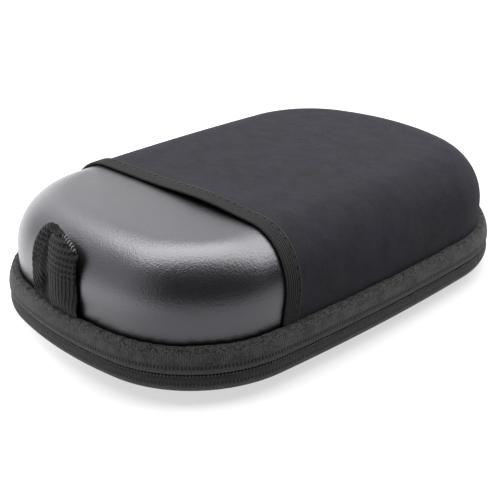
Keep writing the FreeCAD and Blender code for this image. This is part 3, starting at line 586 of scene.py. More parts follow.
def plastic_look(name, dark, light, rough):
    look = Look(name, light, rough)
    tone = look.noise(1.5, detail=3.0)
    look.color(tone, dark, light)
    look.rough(tone, rough - 0.08, rough + 0.08)
    look.bump(look.noise(0.3), 0.02, 0.4)
    return look.material


def metal_look():
    """Black paint on a die-cast slider, worn a little to grey in patches of noise."""
    look = Look("slider_metal", (0.02, 0.02, 0.022), 0.35, Metallic=0.35)
    wear = look.ramp(look.noise(1.1, detail=4.0, rough=0.7), 0.58, 0.75)
    look.color(wear, (0.014, 0.014, 0.015), (0.09, 0.09, 0.095))
    look.rough(look.noise(0.6), 0.28, 0.45)
    look.bump(look.noise(0.5, detail=3.0), 0.03, 0.5)
    return look.material


SKIN = skin_look()
KNIT = knit_look()
BINDING = binding_look()
WEBBING = strap_look("webbing", 2.0, 2.2, 0.0, (0.019, 0.019, 0.020))
WEBBING_BACK = strap_look("webbing_back", 2.6, 2.4, -0.85, (0.017, 0.017, 0.018))
# Painted highlight: the fold is a copy of the webbing painted far lighter, as light catching the fold.
WEBBING_FOLD_HIGHLIGHT = strap_look("webbing_fold", 1.6, 1.7, 0.5, (0.17, 0.17, 0.172))
BASE_CLOTH = weave_look("base_fabric", 0.8, 0.8, (0.012, 0.012, 0.0125), (0.03, 0.03, 0.031), 0.12)
SEAM = weave_look("seam_binding", 1.1, 0.6, grey(0.008), (0.028, 0.028, 0.029), 0.15)
HINGE = weave_look("hinge_webbing", 1.7, 1.3, grey(0.0015), (0.024, 0.024, 0.0245), 0.45)
LINING = fleece_look("lining", (0.03, 0.03, 0.033), (0.075, 0.075, 0.08))
FOAM = fleece_look("insert_foam", (0.018, 0.018, 0.020), (0.042, 0.042, 0.046), 0.6)
SHELL_FOAM = fleece_look("shell_foam", grey(0.012), grey(0.03), 1.2)
NET = plastic_look("mesh", grey(0.012), (0.03, 0.03, 0.031), 0.7)
COIL = plastic_look("coil", grey(0.045), grey(0.15), 0.42)
THREAD = plastic_look("thread", grey(0.006), (0.024, 0.024, 0.0245), 0.8)
RUBBER = plastic_look("pull_rubber", grey(0.010), (0.022, 0.022, 0.023), 0.55)
METAL = metal_look()


# ------------------------------------------------------------------ lid

def dome_profile(raise_by, foot):
    """(stand, z) from the foot up the wall and over the rounded edge, raised off the skin by raise_by."""
    wall = [(raise_by, z) for z in steps(foot, WALL_TOP, 2.0)[:-1]]
    radius = LID_ROUND + raise_by
    turn = np.linspace(0, math.pi / 2, 18)
    arc = np.stack([-LID_ROUND + radius * np.cos(turn), WALL_TOP + radius * np.sin(turn)], -1)
    return np.vstack([wall, arc])


SPINE_HALF = 40.0
TOP_RISE = 0.35
CLOTH_STAND, BINDING_STAND, BINDING_FOOT = 0.98, 1.0, 22.3
GAPE_FADE = 26.0


def drawn_in(name, profile, material, pitch, rings, rise=0.0, reach=60.0):
    """A swept profile whose last ring is drawn in to a line along X: rise is its crown, reach its v."""
    s = around(pitch)
    points = PLAN.place(s, profile[:, 0], profile[:, 1])
    rim = points[:, -1]
    spine = np.stack([np.clip(rim[:, 0], -SPINE_HALF, SPINE_HALF), 0 * rim[:, 1], rim[:, 2]], -1)
    t = np.linspace(0, 1, rings + 1)[1:]
    inner = rim[:, None] + (spine - rim)[:, None] * t[None, :, None]
    inner[..., 2] += rise * (1 - (1 - t[None]) ** 2)
    v = lengths_along(profile)
    v = np.concatenate([v, v[-1] + reach * t])
    obj = grid(name, np.concatenate([points, inner], 1), np.append(s, PLAN.total), v, material, wrap=True)
    with editing(obj.data) as bm:
        bmesh.ops.remove_doubles(bm, verts=bm.verts, dist=0.05 * MM)
    return obj


def dome(name, raise_by, foot, material, pitch=1.6, rings=22):
    """A whole dome: wall, rounded edge and slightly crowned top."""
    return drawn_in(name, dome_profile(raise_by, foot), material, pitch, rings, TOP_RISE, 50.0)


MOUTH_LOW, MOUTH_SLOPE, MOUTH_FROM = -61.0, 0.2, 18.5


def mouth_x(z, offset=0.0):
    return MOUTH_LOW + MOUTH_SLOPE * (z - MOUTH_FROM) + offset


def slice_off(obj, offset):
    """Cuts a dome along the slanting mouth line and keeps the larger side."""
    with editing(obj.data) as bm:
        bmesh.ops.bisect_plane(bm, geom=bm.verts[:] + bm.edges[:] + bm.faces[:],
                               plane_co=Vector((mouth_x(0, offset), 0, 0)) * MM,
                               plane_no=Vector((1, 0, -MOUTH_SLOPE)).normalized(), clear_inner=True)


def dome_curve(offset):
    """The binding's curve over the dome, along the mouth: points from -Y foot to +Y foot, and normals."""
    wall_z = np.linspace(BINDING_FOOT, WALL_TOP, 10, endpoint=False)
    turn = np.linspace(0, math.pi / 2, 22)
    radius = LID_ROUND + BINDING_STAND
    stand = np.concatenate([np.full(len(wall_z), BINDING_STAND), -LID_ROUND + radius * np.cos(turn)])
    z = np.concatenate([wall_z, WALL_TOP + radius * np.sin(turn)])
    tilt = np.concatenate([np.zeros(len(wall_z)), turn])
    s = np.linspace(PLAN.total / 2, PLAN.total, 1500, endpoint=False)
    points, normals = [], []
    for out, height, lean in zip(stand, z, tilt):
        ring = PLAN.place(s, [out], [height])[:, 0]
        at = np.interp(mouth_x(height, offset), ring[:, 0], s)
        heading = PLAN.turn(np.array([at]))[1][0]
        points.append(PLAN.place([at], [out], [height])[0, 0])
        level = math.cos(lean)
        normals.append((math.cos(heading) * level, math.sin(heading) * level, math.sin(lean)))
    points, normals = np.array(points), np.array(normals)
    x, y, z = points[-1]
    t = np.linspace(-1, 1, 32)[1:-1]
    top = np.stack([np.full_like(t, x), -y * t, z + TOP_RISE * (1 - t ** 2)], -1)
    mirror = np.array([1, -1, 1])
    return (np.vstack([points, top, points[::-1] * mirror]),
            np.vstack([normals, np.tile([0, 0, 1.0], (len(t), 1)), normals[::-1] * mirror]))


def gape(y, z):
    """How far the pocket's mouth stands open where it crosses the lid's top."""
    return 1.7 * np.exp(-((y + 20.0) / 24.0) ** 2) * np.clip((z - 50.0) / 6.0, 0, 1)


def build_lid_cover():
    put(dome("moulded_skin_cover", 0.0, 20.0, SKIN), "lid", "moulded_skin", "lid_skin")
    cloth = dome("stretch_pocket_cloth", CLOTH_STAND, 22.2, KNIT)
    slice_off(cloth, 2.0)
    at = np.array([v.co for v in cloth.data.vertices]) / MM
    behind = np.clip(1 - (at[:, 0] - mouth_x(at[:, 2], 2.0)) / GAPE_FADE, 0, 1)
    at[:, 2] += gape(at[:, 1], at[:, 2]) * behind ** 2 * (3 - 2 * behind)
    cloth.data.vertices.foreach_set("co", (at * MM).ravel())
    put(cloth, "lid", "stretch_fabric", "stretch_pocket")


def binding_section():
    """Distance across the binding and height over the skin: rounded edges, cords, needle groove and ridge."""
    across = np.linspace(0, BINDING_WIDTH, 61)
    rise = np.clip(np.minimum(across, BINDING_WIDTH - across) / BINDING_EDGE, 0, 1)
    height = CLOTH_STAND + 0.82 * np.sqrt(1 - (1 - rise) ** 2)
    height += 0.17 * np.cos(TAU * across / CORD_PITCH) * rise * (across < CORDS_END)
    height -= 0.30 * np.exp(-((across - NEEDLE_ROW) / 0.28) ** 2)
    height += 0.20 * np.exp(-((across - RIDGE) / 0.30) ** 2)
    return across, height


def build_binding():
    """The folded elastic along the pocket mouth: its cut edge turns under, and its needle row is sewn."""
    across, height = binding_section()
    v = np.concatenate([[-3.6, -0.7, -0.3], across])
    across = np.concatenate([[3.4, 0.45, 0.12], across])
    height = np.concatenate([[0.5, 0.5, 0.66], height])
    rows = []
    for x, h in zip(across, height):
        points, normals = dome_curve(x)
        rows.append(points + normals * (h - BINDING_STAND + gape(points[:, 1], points[:, 2]))[:, None])
    points = np.stack(rows, 1)
    strap = grid("mouth_binding", points, lengths_along(points[:, 3]), v, BINDING, sharp=80)
    put(strap, "lid", "elastic_binding", "pocket_binding")
    build_binding_stitches()


# ------------------------------------------------------------------ band and zipper

def band_upper():
    """Closed profile of the upper tape, from the zipper edge up its outer face to its rolled top."""
    z0 = ZIP + SLIT
    outer = chain(((4.5, z0), 0.3, 3), ((4.8, z0 + 0.25), 4.4, 6), ((5.7, 15.0), 14.8, 16),
                  ((3.75, 22.2), 1.1, 5), ((2.7, 23.0), 1.3, 5), ((1.1, 22.95), 1.0, 5), ((0.35, 22.2), 0, 1),
                  ((0.3, 20.8), 0, 1))
    inner = np.array([(1.6, 20.8), (3.4, 18.6), (4.3, 15.3), (3.7, z0 + 0.2)])
    return np.vstack([outer, inner])


def build_binding_stitches():
    line, normals = dome_curve(NEEDLE_ROW)
    line = line + normals * gape(line[:, 1], line[:, 2])[:, None]
    along = lengths_along(line)
    spots = np.arange(STITCH_START, along[-1] - STITCH_START, STITCH_PITCH)

    def at_spots(values):
        return np.stack([np.interp(spots, along, column) for column in values.T], -1)

    out = unit_vectors(at_spots(normals))
    ahead = unit_vectors(at_spots(np.gradient(line, axis=0)))
    axes = np.stack([ahead, out, np.cross(ahead, out)], 1)
    verts, faces = capsule(STITCH_LENGTH, 0.42, 0.34)
    origins = at_spots(line) + out * STITCH_STAND
    put(scatter("mouth_binding_stitches", verts, faces, origins, axes, THREAD), "lid", "thread")


def band_lower():
    """Closed profile of the lower tape, from its low edge up its outer face, then down its inner one."""
    z0 = ZIP - SLIT
    inner = np.array([(3.7, z0 - 0.2), (4.5, 9.0), (1.7, 4.65), (-2.4, 3.0)])
    outer = chain(((-2.7, 2.0), 0, 1), ((-2.2, 1.75), 40.2, 4), ((2.2, 3.5), 6.0, 9), ((5.7, 9.0), 4.4, 6),
                  ((4.8, z0 - 0.25), 0.3, 3), ((4.5, z0), 0, 1))
    return np.vstack([outer, inner])


def fuzzy(z_low, z_high, size, seed):
    """Unevenness of a cut knit edge between two heights."""
    draw = np.random.default_rng(seed)

    def change(s, stand, z):
        share = np.clip((z - z_low) / (z_high - z_low), 0, 1)
        raw = draw.normal(size=stand.shape)
        raw = (raw + np.roll(raw, 1, 0) + np.roll(raw, -1, 0)) / 3
        nap = (raw + np.roll(raw, 1, 1)) / 2 * size
        uneven = wander(s, (23, 41, 67, 111, 170, 233), size, seed)
        return stand + share * (nap * 0.8 + uneven * 0.4), z + share * (uneven + nap * 0.5)
    return change


def build_band():
    profile = band_upper()
    top_v = float(lengths_along(profile)[np.argmax(profile[:, 1])])
    upper_tape = sweep("upper_band", around(0.75), profile, tape_look("upper_band_tape", 0.5, top_v),
                       change=fuzzy(21.3, 23.0, 0.20, 3), sharp=75)
    put(upper_tape, "lid", "band_fabric", "upper_zipper_tape")
    profile = band_lower()
    zipper_v = float(lengths_along(profile)[np.argmax(profile[:, 1])])
    # Painted shade: the lower tape is painted darker than the upper one.
    look = tape_look("lower_band_tape", zipper_v, 0.0, 0.85)
    lower_tape = sweep("lower_band", around(0.9), profile, look, sharp=75)
    put(lower_tape, "base", "band_fabric", "lower_zipper_tape")
    s = np.arange(0, PLAN.total, PLAN.total / round(PLAN.total / DASH_PITCH))
    verts, faces = capsule(1.6, 0.55, 0.34)
    for (half, side, body), stand in zip(HALVES, (5.52, 5.42)):
        origins, axes = PLAN.frames(s, stand, ZIP + side * DASH_ROW)
        upright = axes[:, ::-1]
        put(scatter(f"{half}_row_stitches", verts, faces, origins, upright, THREAD), body, "thread")


COIL_PITCH, COIL_POINTS = 1.3, 9
COIL_END = 53.0


def path_at_x(x):
    """Path value on the +Y side at an x."""
    s = np.linspace(0, PLAN.total / 2, 4000)
    ring = PLAN.place(s, [0.0], [0.0])[:, 0, 0]
    return float(np.interp(-x, -ring, s))


def build_coils():
    """Two rows of nylon coil whose heads show as small teeth in the slit, with a woven cord inside each."""
    first, last = path_at_x(-COIL_END + 3.4), path_at_x(COIL_END - 3.4) + PLAN.total
    turns = int((last - first) / COIL_PITCH)
    t = np.arange(turns * COIL_POINTS) / COIL_POINTS
    a = TAU * t
    i, turn = PLAN.turn(first + t * COIL_PITCH)
    reach = PLAN.radius[i] + 4.0 + 0.80 * np.cos(a)
    x, y = PLAN.centre[i, 0] + reach * np.cos(turn), PLAN.centre[i, 1] + reach * np.sin(turn)
    round_cord = np.linspace(0, TAU, 8, endpoint=False)
    for half, side, body in HALVES:
        z = ZIP + side * (1.36 - 1.05 * np.cos(a - 0.5))
        teeth = tube(f"{half}_coil_teeth", np.stack([x, y, z], -1), 0.26, COIL, sides=5)
        put(teeth, body, "coil", f"{half}_zipper_coil")
        profile = [(3.2 + 0.42 * math.cos(b), ZIP + side * 1.5 + 0.42 * math.sin(b)) for b in round_cord]
        put(sweep(f"{half}_coil_cord", steps(first, last, 2.0), profile, THREAD, wrap=False), body, "coil")
    for half, side, body in HALVES:
        stops = []
        for end in (-1, 1):
            spot = np.array([path_at_x(end * (COIL_END - 1.9))])
            origin, axes = PLAN.frames(spot, 2.3, ZIP + side * 1.45)
            stops.append(crimp(f"stop_{end}", origin[0], axes[0]))
        put(join(f"{half}_end_stops", *stops), body, "slider_metal", f"{half}_zipper_stops")


def crimp(name, origin, axes):
    """A crimped stop: a small block with rounded edges and a pressed groove."""
    mesh = bpy.data.meshes.new(name)
    with editing(mesh) as bm:
        bmesh.ops.create_cube(bm, size=1.0)
        bmesh.ops.scale(bm, vec=(3.0, 1.7, 1.7), verts=bm.verts)
        bmesh.ops.bevel(bm, geom=bm.edges[:], offset=0.35, segments=3, affect="EDGES")
        for v in bm.verts:
            v.co.y *= 1 - 0.18 * math.exp(-(v.co.x / 0.5) ** 2)
            v.co = Vector((np.array(v.co) @ axes + origin).tolist()) * MM
    dress(mesh, METAL, 50)
    return link(name, mesh)


# ------------------------------------------------------------------ webbing loop

LOOP_LEAN = math.tan(math.radians(8.0))
LOOP_LOW = 21.4
LOOP_SHIFT = 2.2
WEB_THICK = 1.15
# The front leg: a foot one webbing wide, edges that sweep apart upwards, and a crowned fold on top.
LEG_RIGHT, LEG_LEFT, LEG_RISE = -13.8, 5.1, 32.0
RIGHT_SWEEP, LEFT_SWEEP = 3.6, 4.9
CROWN_Y, CROWN_TOP, CROWN_DROP = 2.9, 53.6, 4.7
CROWN_RIGHT, CROWN_LEFT = 13.0, 7.1
# The back leg: it widens from its foot, then goes over behind the fold in part of an elliptical arch.
ARCH_Y, ARCH_Z, ARCH_HALF, ARCH_RISE = 7.4, 40.0, 13.8, 16.2
ARCH_END = math.radians(122.0)
ARCH_SHARE = 0.55
FOOT_IN = 3.2
INNER_Y, INNER_TOP = 1.0, 48.5


def crown(y):
    """Height of the fold along the top of the front leg."""
    reach = np.where(y > CROWN_Y, CROWN_LEFT, CROWN_RIGHT)
    return CROWN_TOP - CROWN_DROP * np.abs((y - CROWN_Y) / reach) ** 1.9


def leg_edges(z):
    """Right and left edge of the front leg at height z."""
    rise = np.clip((z - LOOP_LOW) / LEG_RISE, 0, 1.1)
    return LEG_RIGHT + RIGHT_SWEEP * rise ** 1.5, LEG_LEFT + LEFT_SWEEP * rise ** 2.2


def arch(across, along):
    """The back leg's y and z: across it from the outer edge to the inner one, and along it from its foot."""
    climb = np.clip(along / (1 - ARCH_SHARE), 0, 1)
    turn = ARCH_END * np.clip((along - 1 + ARCH_SHARE) / ARCH_SHARE, 0, 1)
    outer_y = ARCH_Y + ARCH_HALF * np.cos(turn) - FOOT_IN * (1 - climb) ** 1.6
    outer_z = LOOP_LOW + (ARCH_Z - LOOP_LOW) * climb + ARCH_RISE * np.sin(turn)
    inner_z = LOOP_LOW + (INNER_TOP - LOOP_LOW) * along
    return outer_y + (INNER_Y - outer_y) * across, outer_z + (inner_z - outer_z) * across


def loop_stand(z):
    """Stand of the loop's outer face: leaning to the lid, and drawn into the groove at its foot."""
    tuck = np.clip((28.5 - z) / 6.5, 0, 1)
    curl = np.clip((z - 38.0) / 20.0, 0, 1.3)
    return 3.1 - (z - 24.7) * LOOP_LEAN - 3.0 * tuck ** 1.6 - 4.2 * curl ** 2


def loop_point(y, z, d):
    """A point of the loop, d outside its outer face."""
    bow = y ** 2 / (2 * NEAR_BOW)
    return np.stack([-(HALF_LENGTH + loop_stand(z) + d - bow), y + LOOP_SHIFT, z], -1)


def shell(name, front, thickness, u, v, material):
    """A closed sheet of even thickness behind a grid of front points, with rounded borders."""
    normal = unit_vectors(np.cross(np.gradient(front, axis=1), np.gradient(front, axis=0)))
    middle = front - normal * thickness / 2
    rows, cols = front.shape[:2]
    full = np.array([0.45, 0.8, 0.95, 1.0])
    counts = (np.arange(n) for n in (rows, cols))
    by_row, by_col = (full[np.minimum(np.minimum(n, n[::-1]), 3)] for n in counts)
    half = (thickness / 2 * np.minimum(by_row[:, None], by_col[None]))[..., None] * normal
    size = rows * cols
    index = np.arange(size).reshape(rows, cols)
    corners = [index[:-1, :-1], index[:-1, 1:], index[1:, 1:], index[1:, :-1]]
    front_faces = np.stack(corners, -1).reshape(-1, 4)
    ring = np.concatenate([index[0, :-1], index[:-1, -1], index[-1, :0:-1], index[:0:-1, 0]])
    after = np.roll(ring, -1)
    border = np.stack([after, ring, ring + size, after + size], -1)
    faces = np.vstack([front_faces, front_faces[:, ::-1] + size, border])
    flat = np.stack([np.broadcast_to(u, (rows, cols)), np.broadcast_to(v, (rows, cols))], -1).reshape(-1, 2)
    uv = np.vstack([flat, flat])[faces]
    return new_object(name, np.stack([middle + half, middle - half]), faces, material, uv, 80)


def front_leg_sheet():
    """The front leg: its edges sweep apart upwards, and its top rolls over under the fold."""
    a = np.linspace(0, 1, 56)[None]
    t = np.linspace(0, 1, 72)[:, None]
    y = LEG_RIGHT + (LEG_LEFT + LEFT_SWEEP - LEG_RIGHT) * a + 0 * t
    for _ in range(4):
        top = crown(y)
        z = LOOP_LOW + (top - LOOP_LOW) * t
        right, left = leg_edges(z)
        y = right + (left - right) * a
    bulge = 1.5 * np.cos((a - 0.5) * math.pi) - 1.0 + 0 * t
    roll = np.clip(1 - (top - z) / 2.6, 0, 1) ** 2
    sag = 0.25 * np.sin(z / 5.0 + y / 7.0)
    free = np.clip((z - 24.5) / 6.0, 0, 1)
    front = loop_point(y, z, (bulge + sag) * free - roll)
    return shell("webbing_front_leg", front, WEB_THICK, y, z, WEBBING)


def back_leg_sheet():
    """The back leg: it curls round behind the fold, deeper where it lies behind the front leg."""
    across = np.linspace(0, 1, 46)[None]
    y, z = arch(across, np.linspace(0, 1, 84)[:, None])
    rise = np.clip((z - 46) / 12, 0, 1)
    free = np.clip((z - 22) / 6, 0, 1)
    depth = -0.3 - 0.9 * free * (1 + np.exp(-(across / 0.05) ** 2)) + 1.7 * rise ** 2
    inside = np.clip((across - 0.16) / 0.2, 0, 1)
    behind = np.clip((across - 0.42) / 0.12, 0, 1)
    ribs = 0.2 * np.sin((z - y * 0.85) * TAU / 2.6)
    depth = depth - 2.4 * inside * rise - 1.1 * behind * free + ribs
    back = loop_point(y, z, depth)
    return shell("webbing_back_leg", back[:, ::-1], WEB_THICK, y[:, ::-1], z[:, ::-1], WEBBING_BACK)


def build_loop():
    """A folded strap: a front leg, a slanting fold at its top, and a back leg that curls round behind it."""
    leg, back_leg = front_leg_sheet(), back_leg_sheet()
    y = np.linspace(CROWN_Y - CROWN_RIGHT + 0.6, CROWN_Y + 4.4, 46)
    thin = 1.05 * np.clip(np.sin(np.linspace(0.35, math.pi - 0.5, 46)) * 1.6, 0.4, 1)
    fold = tube("webbing_fold", loop_point(y, crown(y) + 0.1, -0.75), thin, WEBBING_FOLD_HIGHLIGHT, sides=14)
    for piece in (leg, back_leg, fold):
        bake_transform(piece)
    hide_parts("webbing_loop")


# ------------------------------------------------------------------ tray, linings and hinge

def dish(name, profile, material):
    """A swept wall, then a flat floor."""
    return drawn_in(name, profile, material, 2.0, 16)


def build_tray():
    cover = chain(((-2.45, 1.95), -40.0, 12), ((-14.3, 0.02), 0, 1), ((-16.5, 0.0), 0, 1))
    sole = dish("base_cloth", cover, BASE_CLOTH)
    put(sole, "base", "base_fabric", "base_skin")
    wall = chain(((-0.5, 8.2), 0, 1), ((-3.0, 7.2), 34.0, 10), ((-14.3, 5.85), 0, 1))
    lining = dish("tray_lining", np.vstack([[(-0.1, 9.1), (-0.25, 8.6)], wall]), LINING)
    put(lining, "base", "lining", "base_lining")
    bead = chain(((-2.4, 8.95), 0, 1), ((0.9, 8.95), 0, 1), ((1.15, 9.5), -1.9, 1), ((0.4, 10.05), 0, 1),
                 ((-1.2, 10.2), 0, 1), ((-2.5, 9.7), 0, 1))
    edge = sweep("tray_seam_binding", around(1.6), bead, SEAM, sharp=85)
    put(edge, "base", "seam_binding", "base_inner_binding")
    for node in ("lid_shell", "base_shell"):
        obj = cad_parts[node]
        obj.data.materials.clear()
        obj.data.materials.append(SHELL_FOAM)


def build_lid_inside():
    inner = dome("lid_lining_cloth", -4.62, 15.0, LINING, pitch=2.0, rings=16)
    inner.data.flip_normals()
    put(inner, "lid", "lining", "lid_lining")
    bead = [(-5.3, 14.4), (0.9, 14.4), (1.05, 14.75), (0.9, 15.05), (-4.5, 15.2), (-4.65, 15.6),
            (-4.65, 20.1), (-5.0, 20.3), (-5.35, 20.0), (-5.5, 15.0)]
    edge = sweep("lid_seam_binding", around(1.6), bead, SEAM, sharp=85)
    put(edge, "lid", "seam_binding", "lid_inner_binding")


NET_HALF_X, NET_HALF_Y, NET_Z = 70.0, 37.0, 51.9
NET_CELL, NET_TAPE_HALF = 2.1, 2.5


def net_z(x, y):
    """The net hangs a little below the lid's lining, held flat along its sewn edges."""
    open_side = np.clip((NET_HALF_Y - y) / (2 * NET_HALF_Y), 0, 1)
    return NET_Z - 1.6 * (1 - (x / NET_HALF_X) ** 2) * open_side ** 0.6


def net_cells(bm):
    """Fills a bmesh with whole hexagons inside the pocket's edges."""
    known = {}

    def corner(x, y):
        key = (round(x, 2), round(y, 2))
        if key not in known:
            x, y = np.clip(x, -NET_HALF_X, NET_HALF_X), np.clip(y, -NET_HALF_Y, NET_HALF_Y)
            known[key] = bm.verts.new(Vector((x, y, float(net_z(x, y)))) * MM)
        return known[key]

    step_x, step_y = NET_CELL * math.sqrt(3), NET_CELL * 1.5
    turns = [TAU * k / 6 for k in range(6)]
    for row in range(int(2 * NET_HALF_Y / step_y)):
        for col in range(int(2 * NET_HALF_X / step_x)):
            x = -NET_HALF_X + NET_CELL + (col + row % 2 / 2) * step_x
            y = -NET_HALF_Y + NET_CELL + row * step_y
            ring = [corner(x + NET_CELL * math.sin(a), y + NET_CELL * math.cos(a)) for a in turns]
            if len(set(ring)) == 6 and x + NET_CELL < NET_HALF_X and y + NET_CELL < NET_HALF_Y + 1:
                bm.faces.new(ring)
    bmesh.ops.delete(bm, geom=[v for v in bm.verts if not v.link_faces], context="VERTS")


def net_elastic():
    """The ribbed and gathered elastic along the net's open edge."""
    x = np.linspace(-NET_HALF_X, NET_HALF_X, 141)[:, None]
    rib = np.linspace(0, 1, 25)[None]
    y = -NET_HALF_Y - 6.0 + 6.4 * rib
    top = net_z(x, np.full((1, 25), -NET_HALF_Y)) - 0.35 + 0.10 * np.cos(TAU * y / 0.8)
    gather = 0.12 * np.sin(TAU * x / 2.6) * np.sin(math.pi * rib)
    lower = np.stack(np.broadcast_arrays(x, y, top + gather - 0.35), -1)
    return shell("net_pocket_elastic", lower, 0.8, x, y, BINDING)


def net_tape(name, start, end):
    """One straight length of the tape over the net's sewn edges."""
    start, span = np.array(start, float), np.array(end, float) - start
    length = np.linalg.norm(span)
    t = np.linspace(0, 1, int(length / 2))[:, None]
    w = np.linspace(-NET_TAPE_HALF, NET_TAPE_HALF, 9)[None]
    x = start[0] + span[0] * t - span[1] / length * w
    y = start[1] + span[1] * t + span[0] / length * w
    z = NET_Z - 0.35 - 0.35 * (1 - (w / NET_TAPE_HALF) ** 2) + 0 * t
    return shell(f"net_tape_{name}", np.stack([x, y, z], -1)[::-1], 0.5, t * 100, w, SEAM)


def build_net():
    """Hexagonal net, with an elastic at its open edge and a tape over the three sewn ones."""
    mesh = bpy.data.meshes.new("net_pocket")
    with editing(mesh) as bm:
        net_cells(bm)
    net = link("net_pocket", mesh)
    wire = net.modifiers.new("strands", "WIREFRAME")
    wire.thickness = 0.55 * MM
    wire.use_even_offset = False
    net = bake_modifiers(net)
    net.data.materials.append(NET)
    put(net, "lid", "mesh", "mesh_pocket")
    put(net_elastic(), "lid", "elastic_binding", "mesh_pocket_trim")
    edge, end, low = NET_HALF_X, NET_HALF_X + 1.5, -NET_HALF_Y - 5
    tape = [net_tape("left", (-edge, low), (-edge, NET_HALF_Y)),
            net_tape("far", (-end, NET_HALF_Y), (end, NET_HALF_Y)),
            net_tape("right", (edge, NET_HALF_Y), (edge, low))]
    put(join("net_pocket_tape", *tape), "lid", "seam_binding")


def bake_modifiers(obj):
    """The object with its modifiers applied."""
    bpy.context.view_layer.update()
    mesh = bpy.data.meshes.new_from_object(obj.evaluated_get(bpy.context.evaluated_depsgraph_get()))
    obj.modifiers.clear()
    obj.data = mesh
    mesh.name = obj.name
    return obj


def build_insert():
    """The moulded foam block: the frame's shape with its edges softened as foam is."""
    obj = link("moulded_insert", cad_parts["foam_insert"].data.copy())
    remesh = obj.modifiers.new("even", "REMESH")
    remesh.mode, remesh.voxel_size = "VOXEL", 1.7 * MM
    smooth = obj.modifiers.new("soft", "SMOOTH")
    smooth.factor, smooth.iterations = 0.6, 5
    obj = bake_modifiers(obj)
    dress(obj.data, FOAM, 75)
    put(obj, "base", "insert_foam", "foam_insert")


HINGE_HALF, HINGE_ROW = 47.0, 5.9


def build_hinge():
    """One fabric strip outside the hinge side and a narrow gusset inside."""
    s = steps(path_at_x(HINGE_HALF), path_at_x(-HINGE_HALF), 1.5)

    def strip_of(name, stand, z, thickness):
        front = np.swapaxes(PLAN.place(s, stand, z), 0, 1)[:, ::-1]
        return shell(name, front, thickness, s[None, ::-1], z[:, None], HINGE)

    z = np.linspace(5.0, 19.0, 41)
    away = np.clip((np.abs(z - ZIP) - 3.0) / 4.0, 0, 1)
    strip = strip_of("hinge_cloth", 6.12 - 0.55 * away ** 2, z, 0.5)
    gusset = strip_of("hinge_gusset", 1.6, np.linspace(9.1, 14.9, 19), 0.4)
    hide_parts("upper_hinge_tape", "lower_hinge_tape")
    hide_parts("upper_hinge_lining", "lower_hinge_lining")
    for piece, slot_name in ((strip, "band_fabric"), (gusset, "seam_binding")):
        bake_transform(piece)
    verts, faces = capsule(1.9, 0.45, 0.34)
    line = np.arange(s[0] + 2, s[-1] - 2, 2.8)
    for side, body in ((1, "lid"), (-1, "base")):
        origins, axes = PLAN.frames(line, 5.82, ZIP + side * HINGE_ROW)
        put(scatter(f"hinge_stitches_{body}", verts, faces, origins, axes, THREAD), body, "thread")


# ------------------------------------------------------------------ sliders and pulls

SLIDER_GAP, SLIDER_LENGTH, SLIDER_TRAVEL = 2.0, 9.0, 14.0


def slider_frame(side):
    """Matrix from a slider's own axes (out, along, up; mm) to the row frame in metres."""
    spot = math.asin((SLIDER_GAP + SLIDER_LENGTH / 2) / FAR_BOW)
    turn = spot + SLIDER_TRAVEL / (2 * FAR_BOW)
    place = Vector((HALF_LENGTH - FAR_BOW * (1 - math.cos(spot)), FAR_BOW * math.sin(spot) * side, 0)) * MM
    turned = Matrix.Translation(place) @ Matrix.Rotation(turn * side, 4, "Z")
    return turned @ Matrix.Diagonal((MM, MM, MM, 1))


def flat_part(name, outlines, thickness, bevel, material, near, side, place):
    """A stamped part: smooth (along, up) outlines, holes included, extruded outwards from near."""
    curve = bpy.data.curves.new(name, "CURVE")
    curve.dimensions = "2D"
    curve.fill_mode = "BOTH"
    curve.extrude = thickness / 2 - bevel
    curve.bevel_depth = bevel
    curve.bevel_resolution = 3
    curve.offset = -bevel
    for outline in outlines:
        spline = curve.splines.new("POLY")
        spline.points.add(len(outline) - 1)
        for point, (along, up) in zip(spline.points, outline):
            point.co = (along * side, up, 0, 1)
        spline.use_cyclic_u = True
    made = link(name, curve)
    bpy.context.view_layer.update()
    mesh = bpy.data.meshes.new_from_object(made.evaluated_get(bpy.context.evaluated_depsgraph_get()))
    bpy.data.objects.remove(made)
    # curve x -> along, curve y -> up, curve z -> out
    turn = Matrix(((0, 0, 1, near + thickness / 2), (1, 0, 0, 0), (0, 1, 0, ZIP), (0, 0, 0, 1)))
    mesh.transform(place @ turn)
    if side < 0:
        mesh.flip_normals()
    dress(mesh, material, 40)
    return link(name, mesh)


def rounded(left, right, half, radius, taper=0.0):
    """A rounded rectangle, narrower at its right end by taper."""
    corners = [(right - radius, half - taper - radius, 0), (left + radius, half - radius, 1),
               (left + radius, -half + radius, 2), (right - radius, -half + taper + radius, 3)]
    points = []
    for x, y, quarter_turn in corners:
        for t in np.linspace(0, math.pi / 2, 6):
            a = t + quarter_turn * math.pi / 2
            points.append((x + radius * math.cos(a), y + radius * math.sin(a)))
    return points


def placed_tube(name, path, radius, material, place, side, sides=10):
    path = np.asarray(path, float) * np.array([1, side, 1]) + np.array([0, 0, ZIP])
    obj = tube(name, path, radius, material, sides)
    obj.data.transform(Matrix.Scale(1 / MM, 4))
    obj.data.transform(place)
    return obj


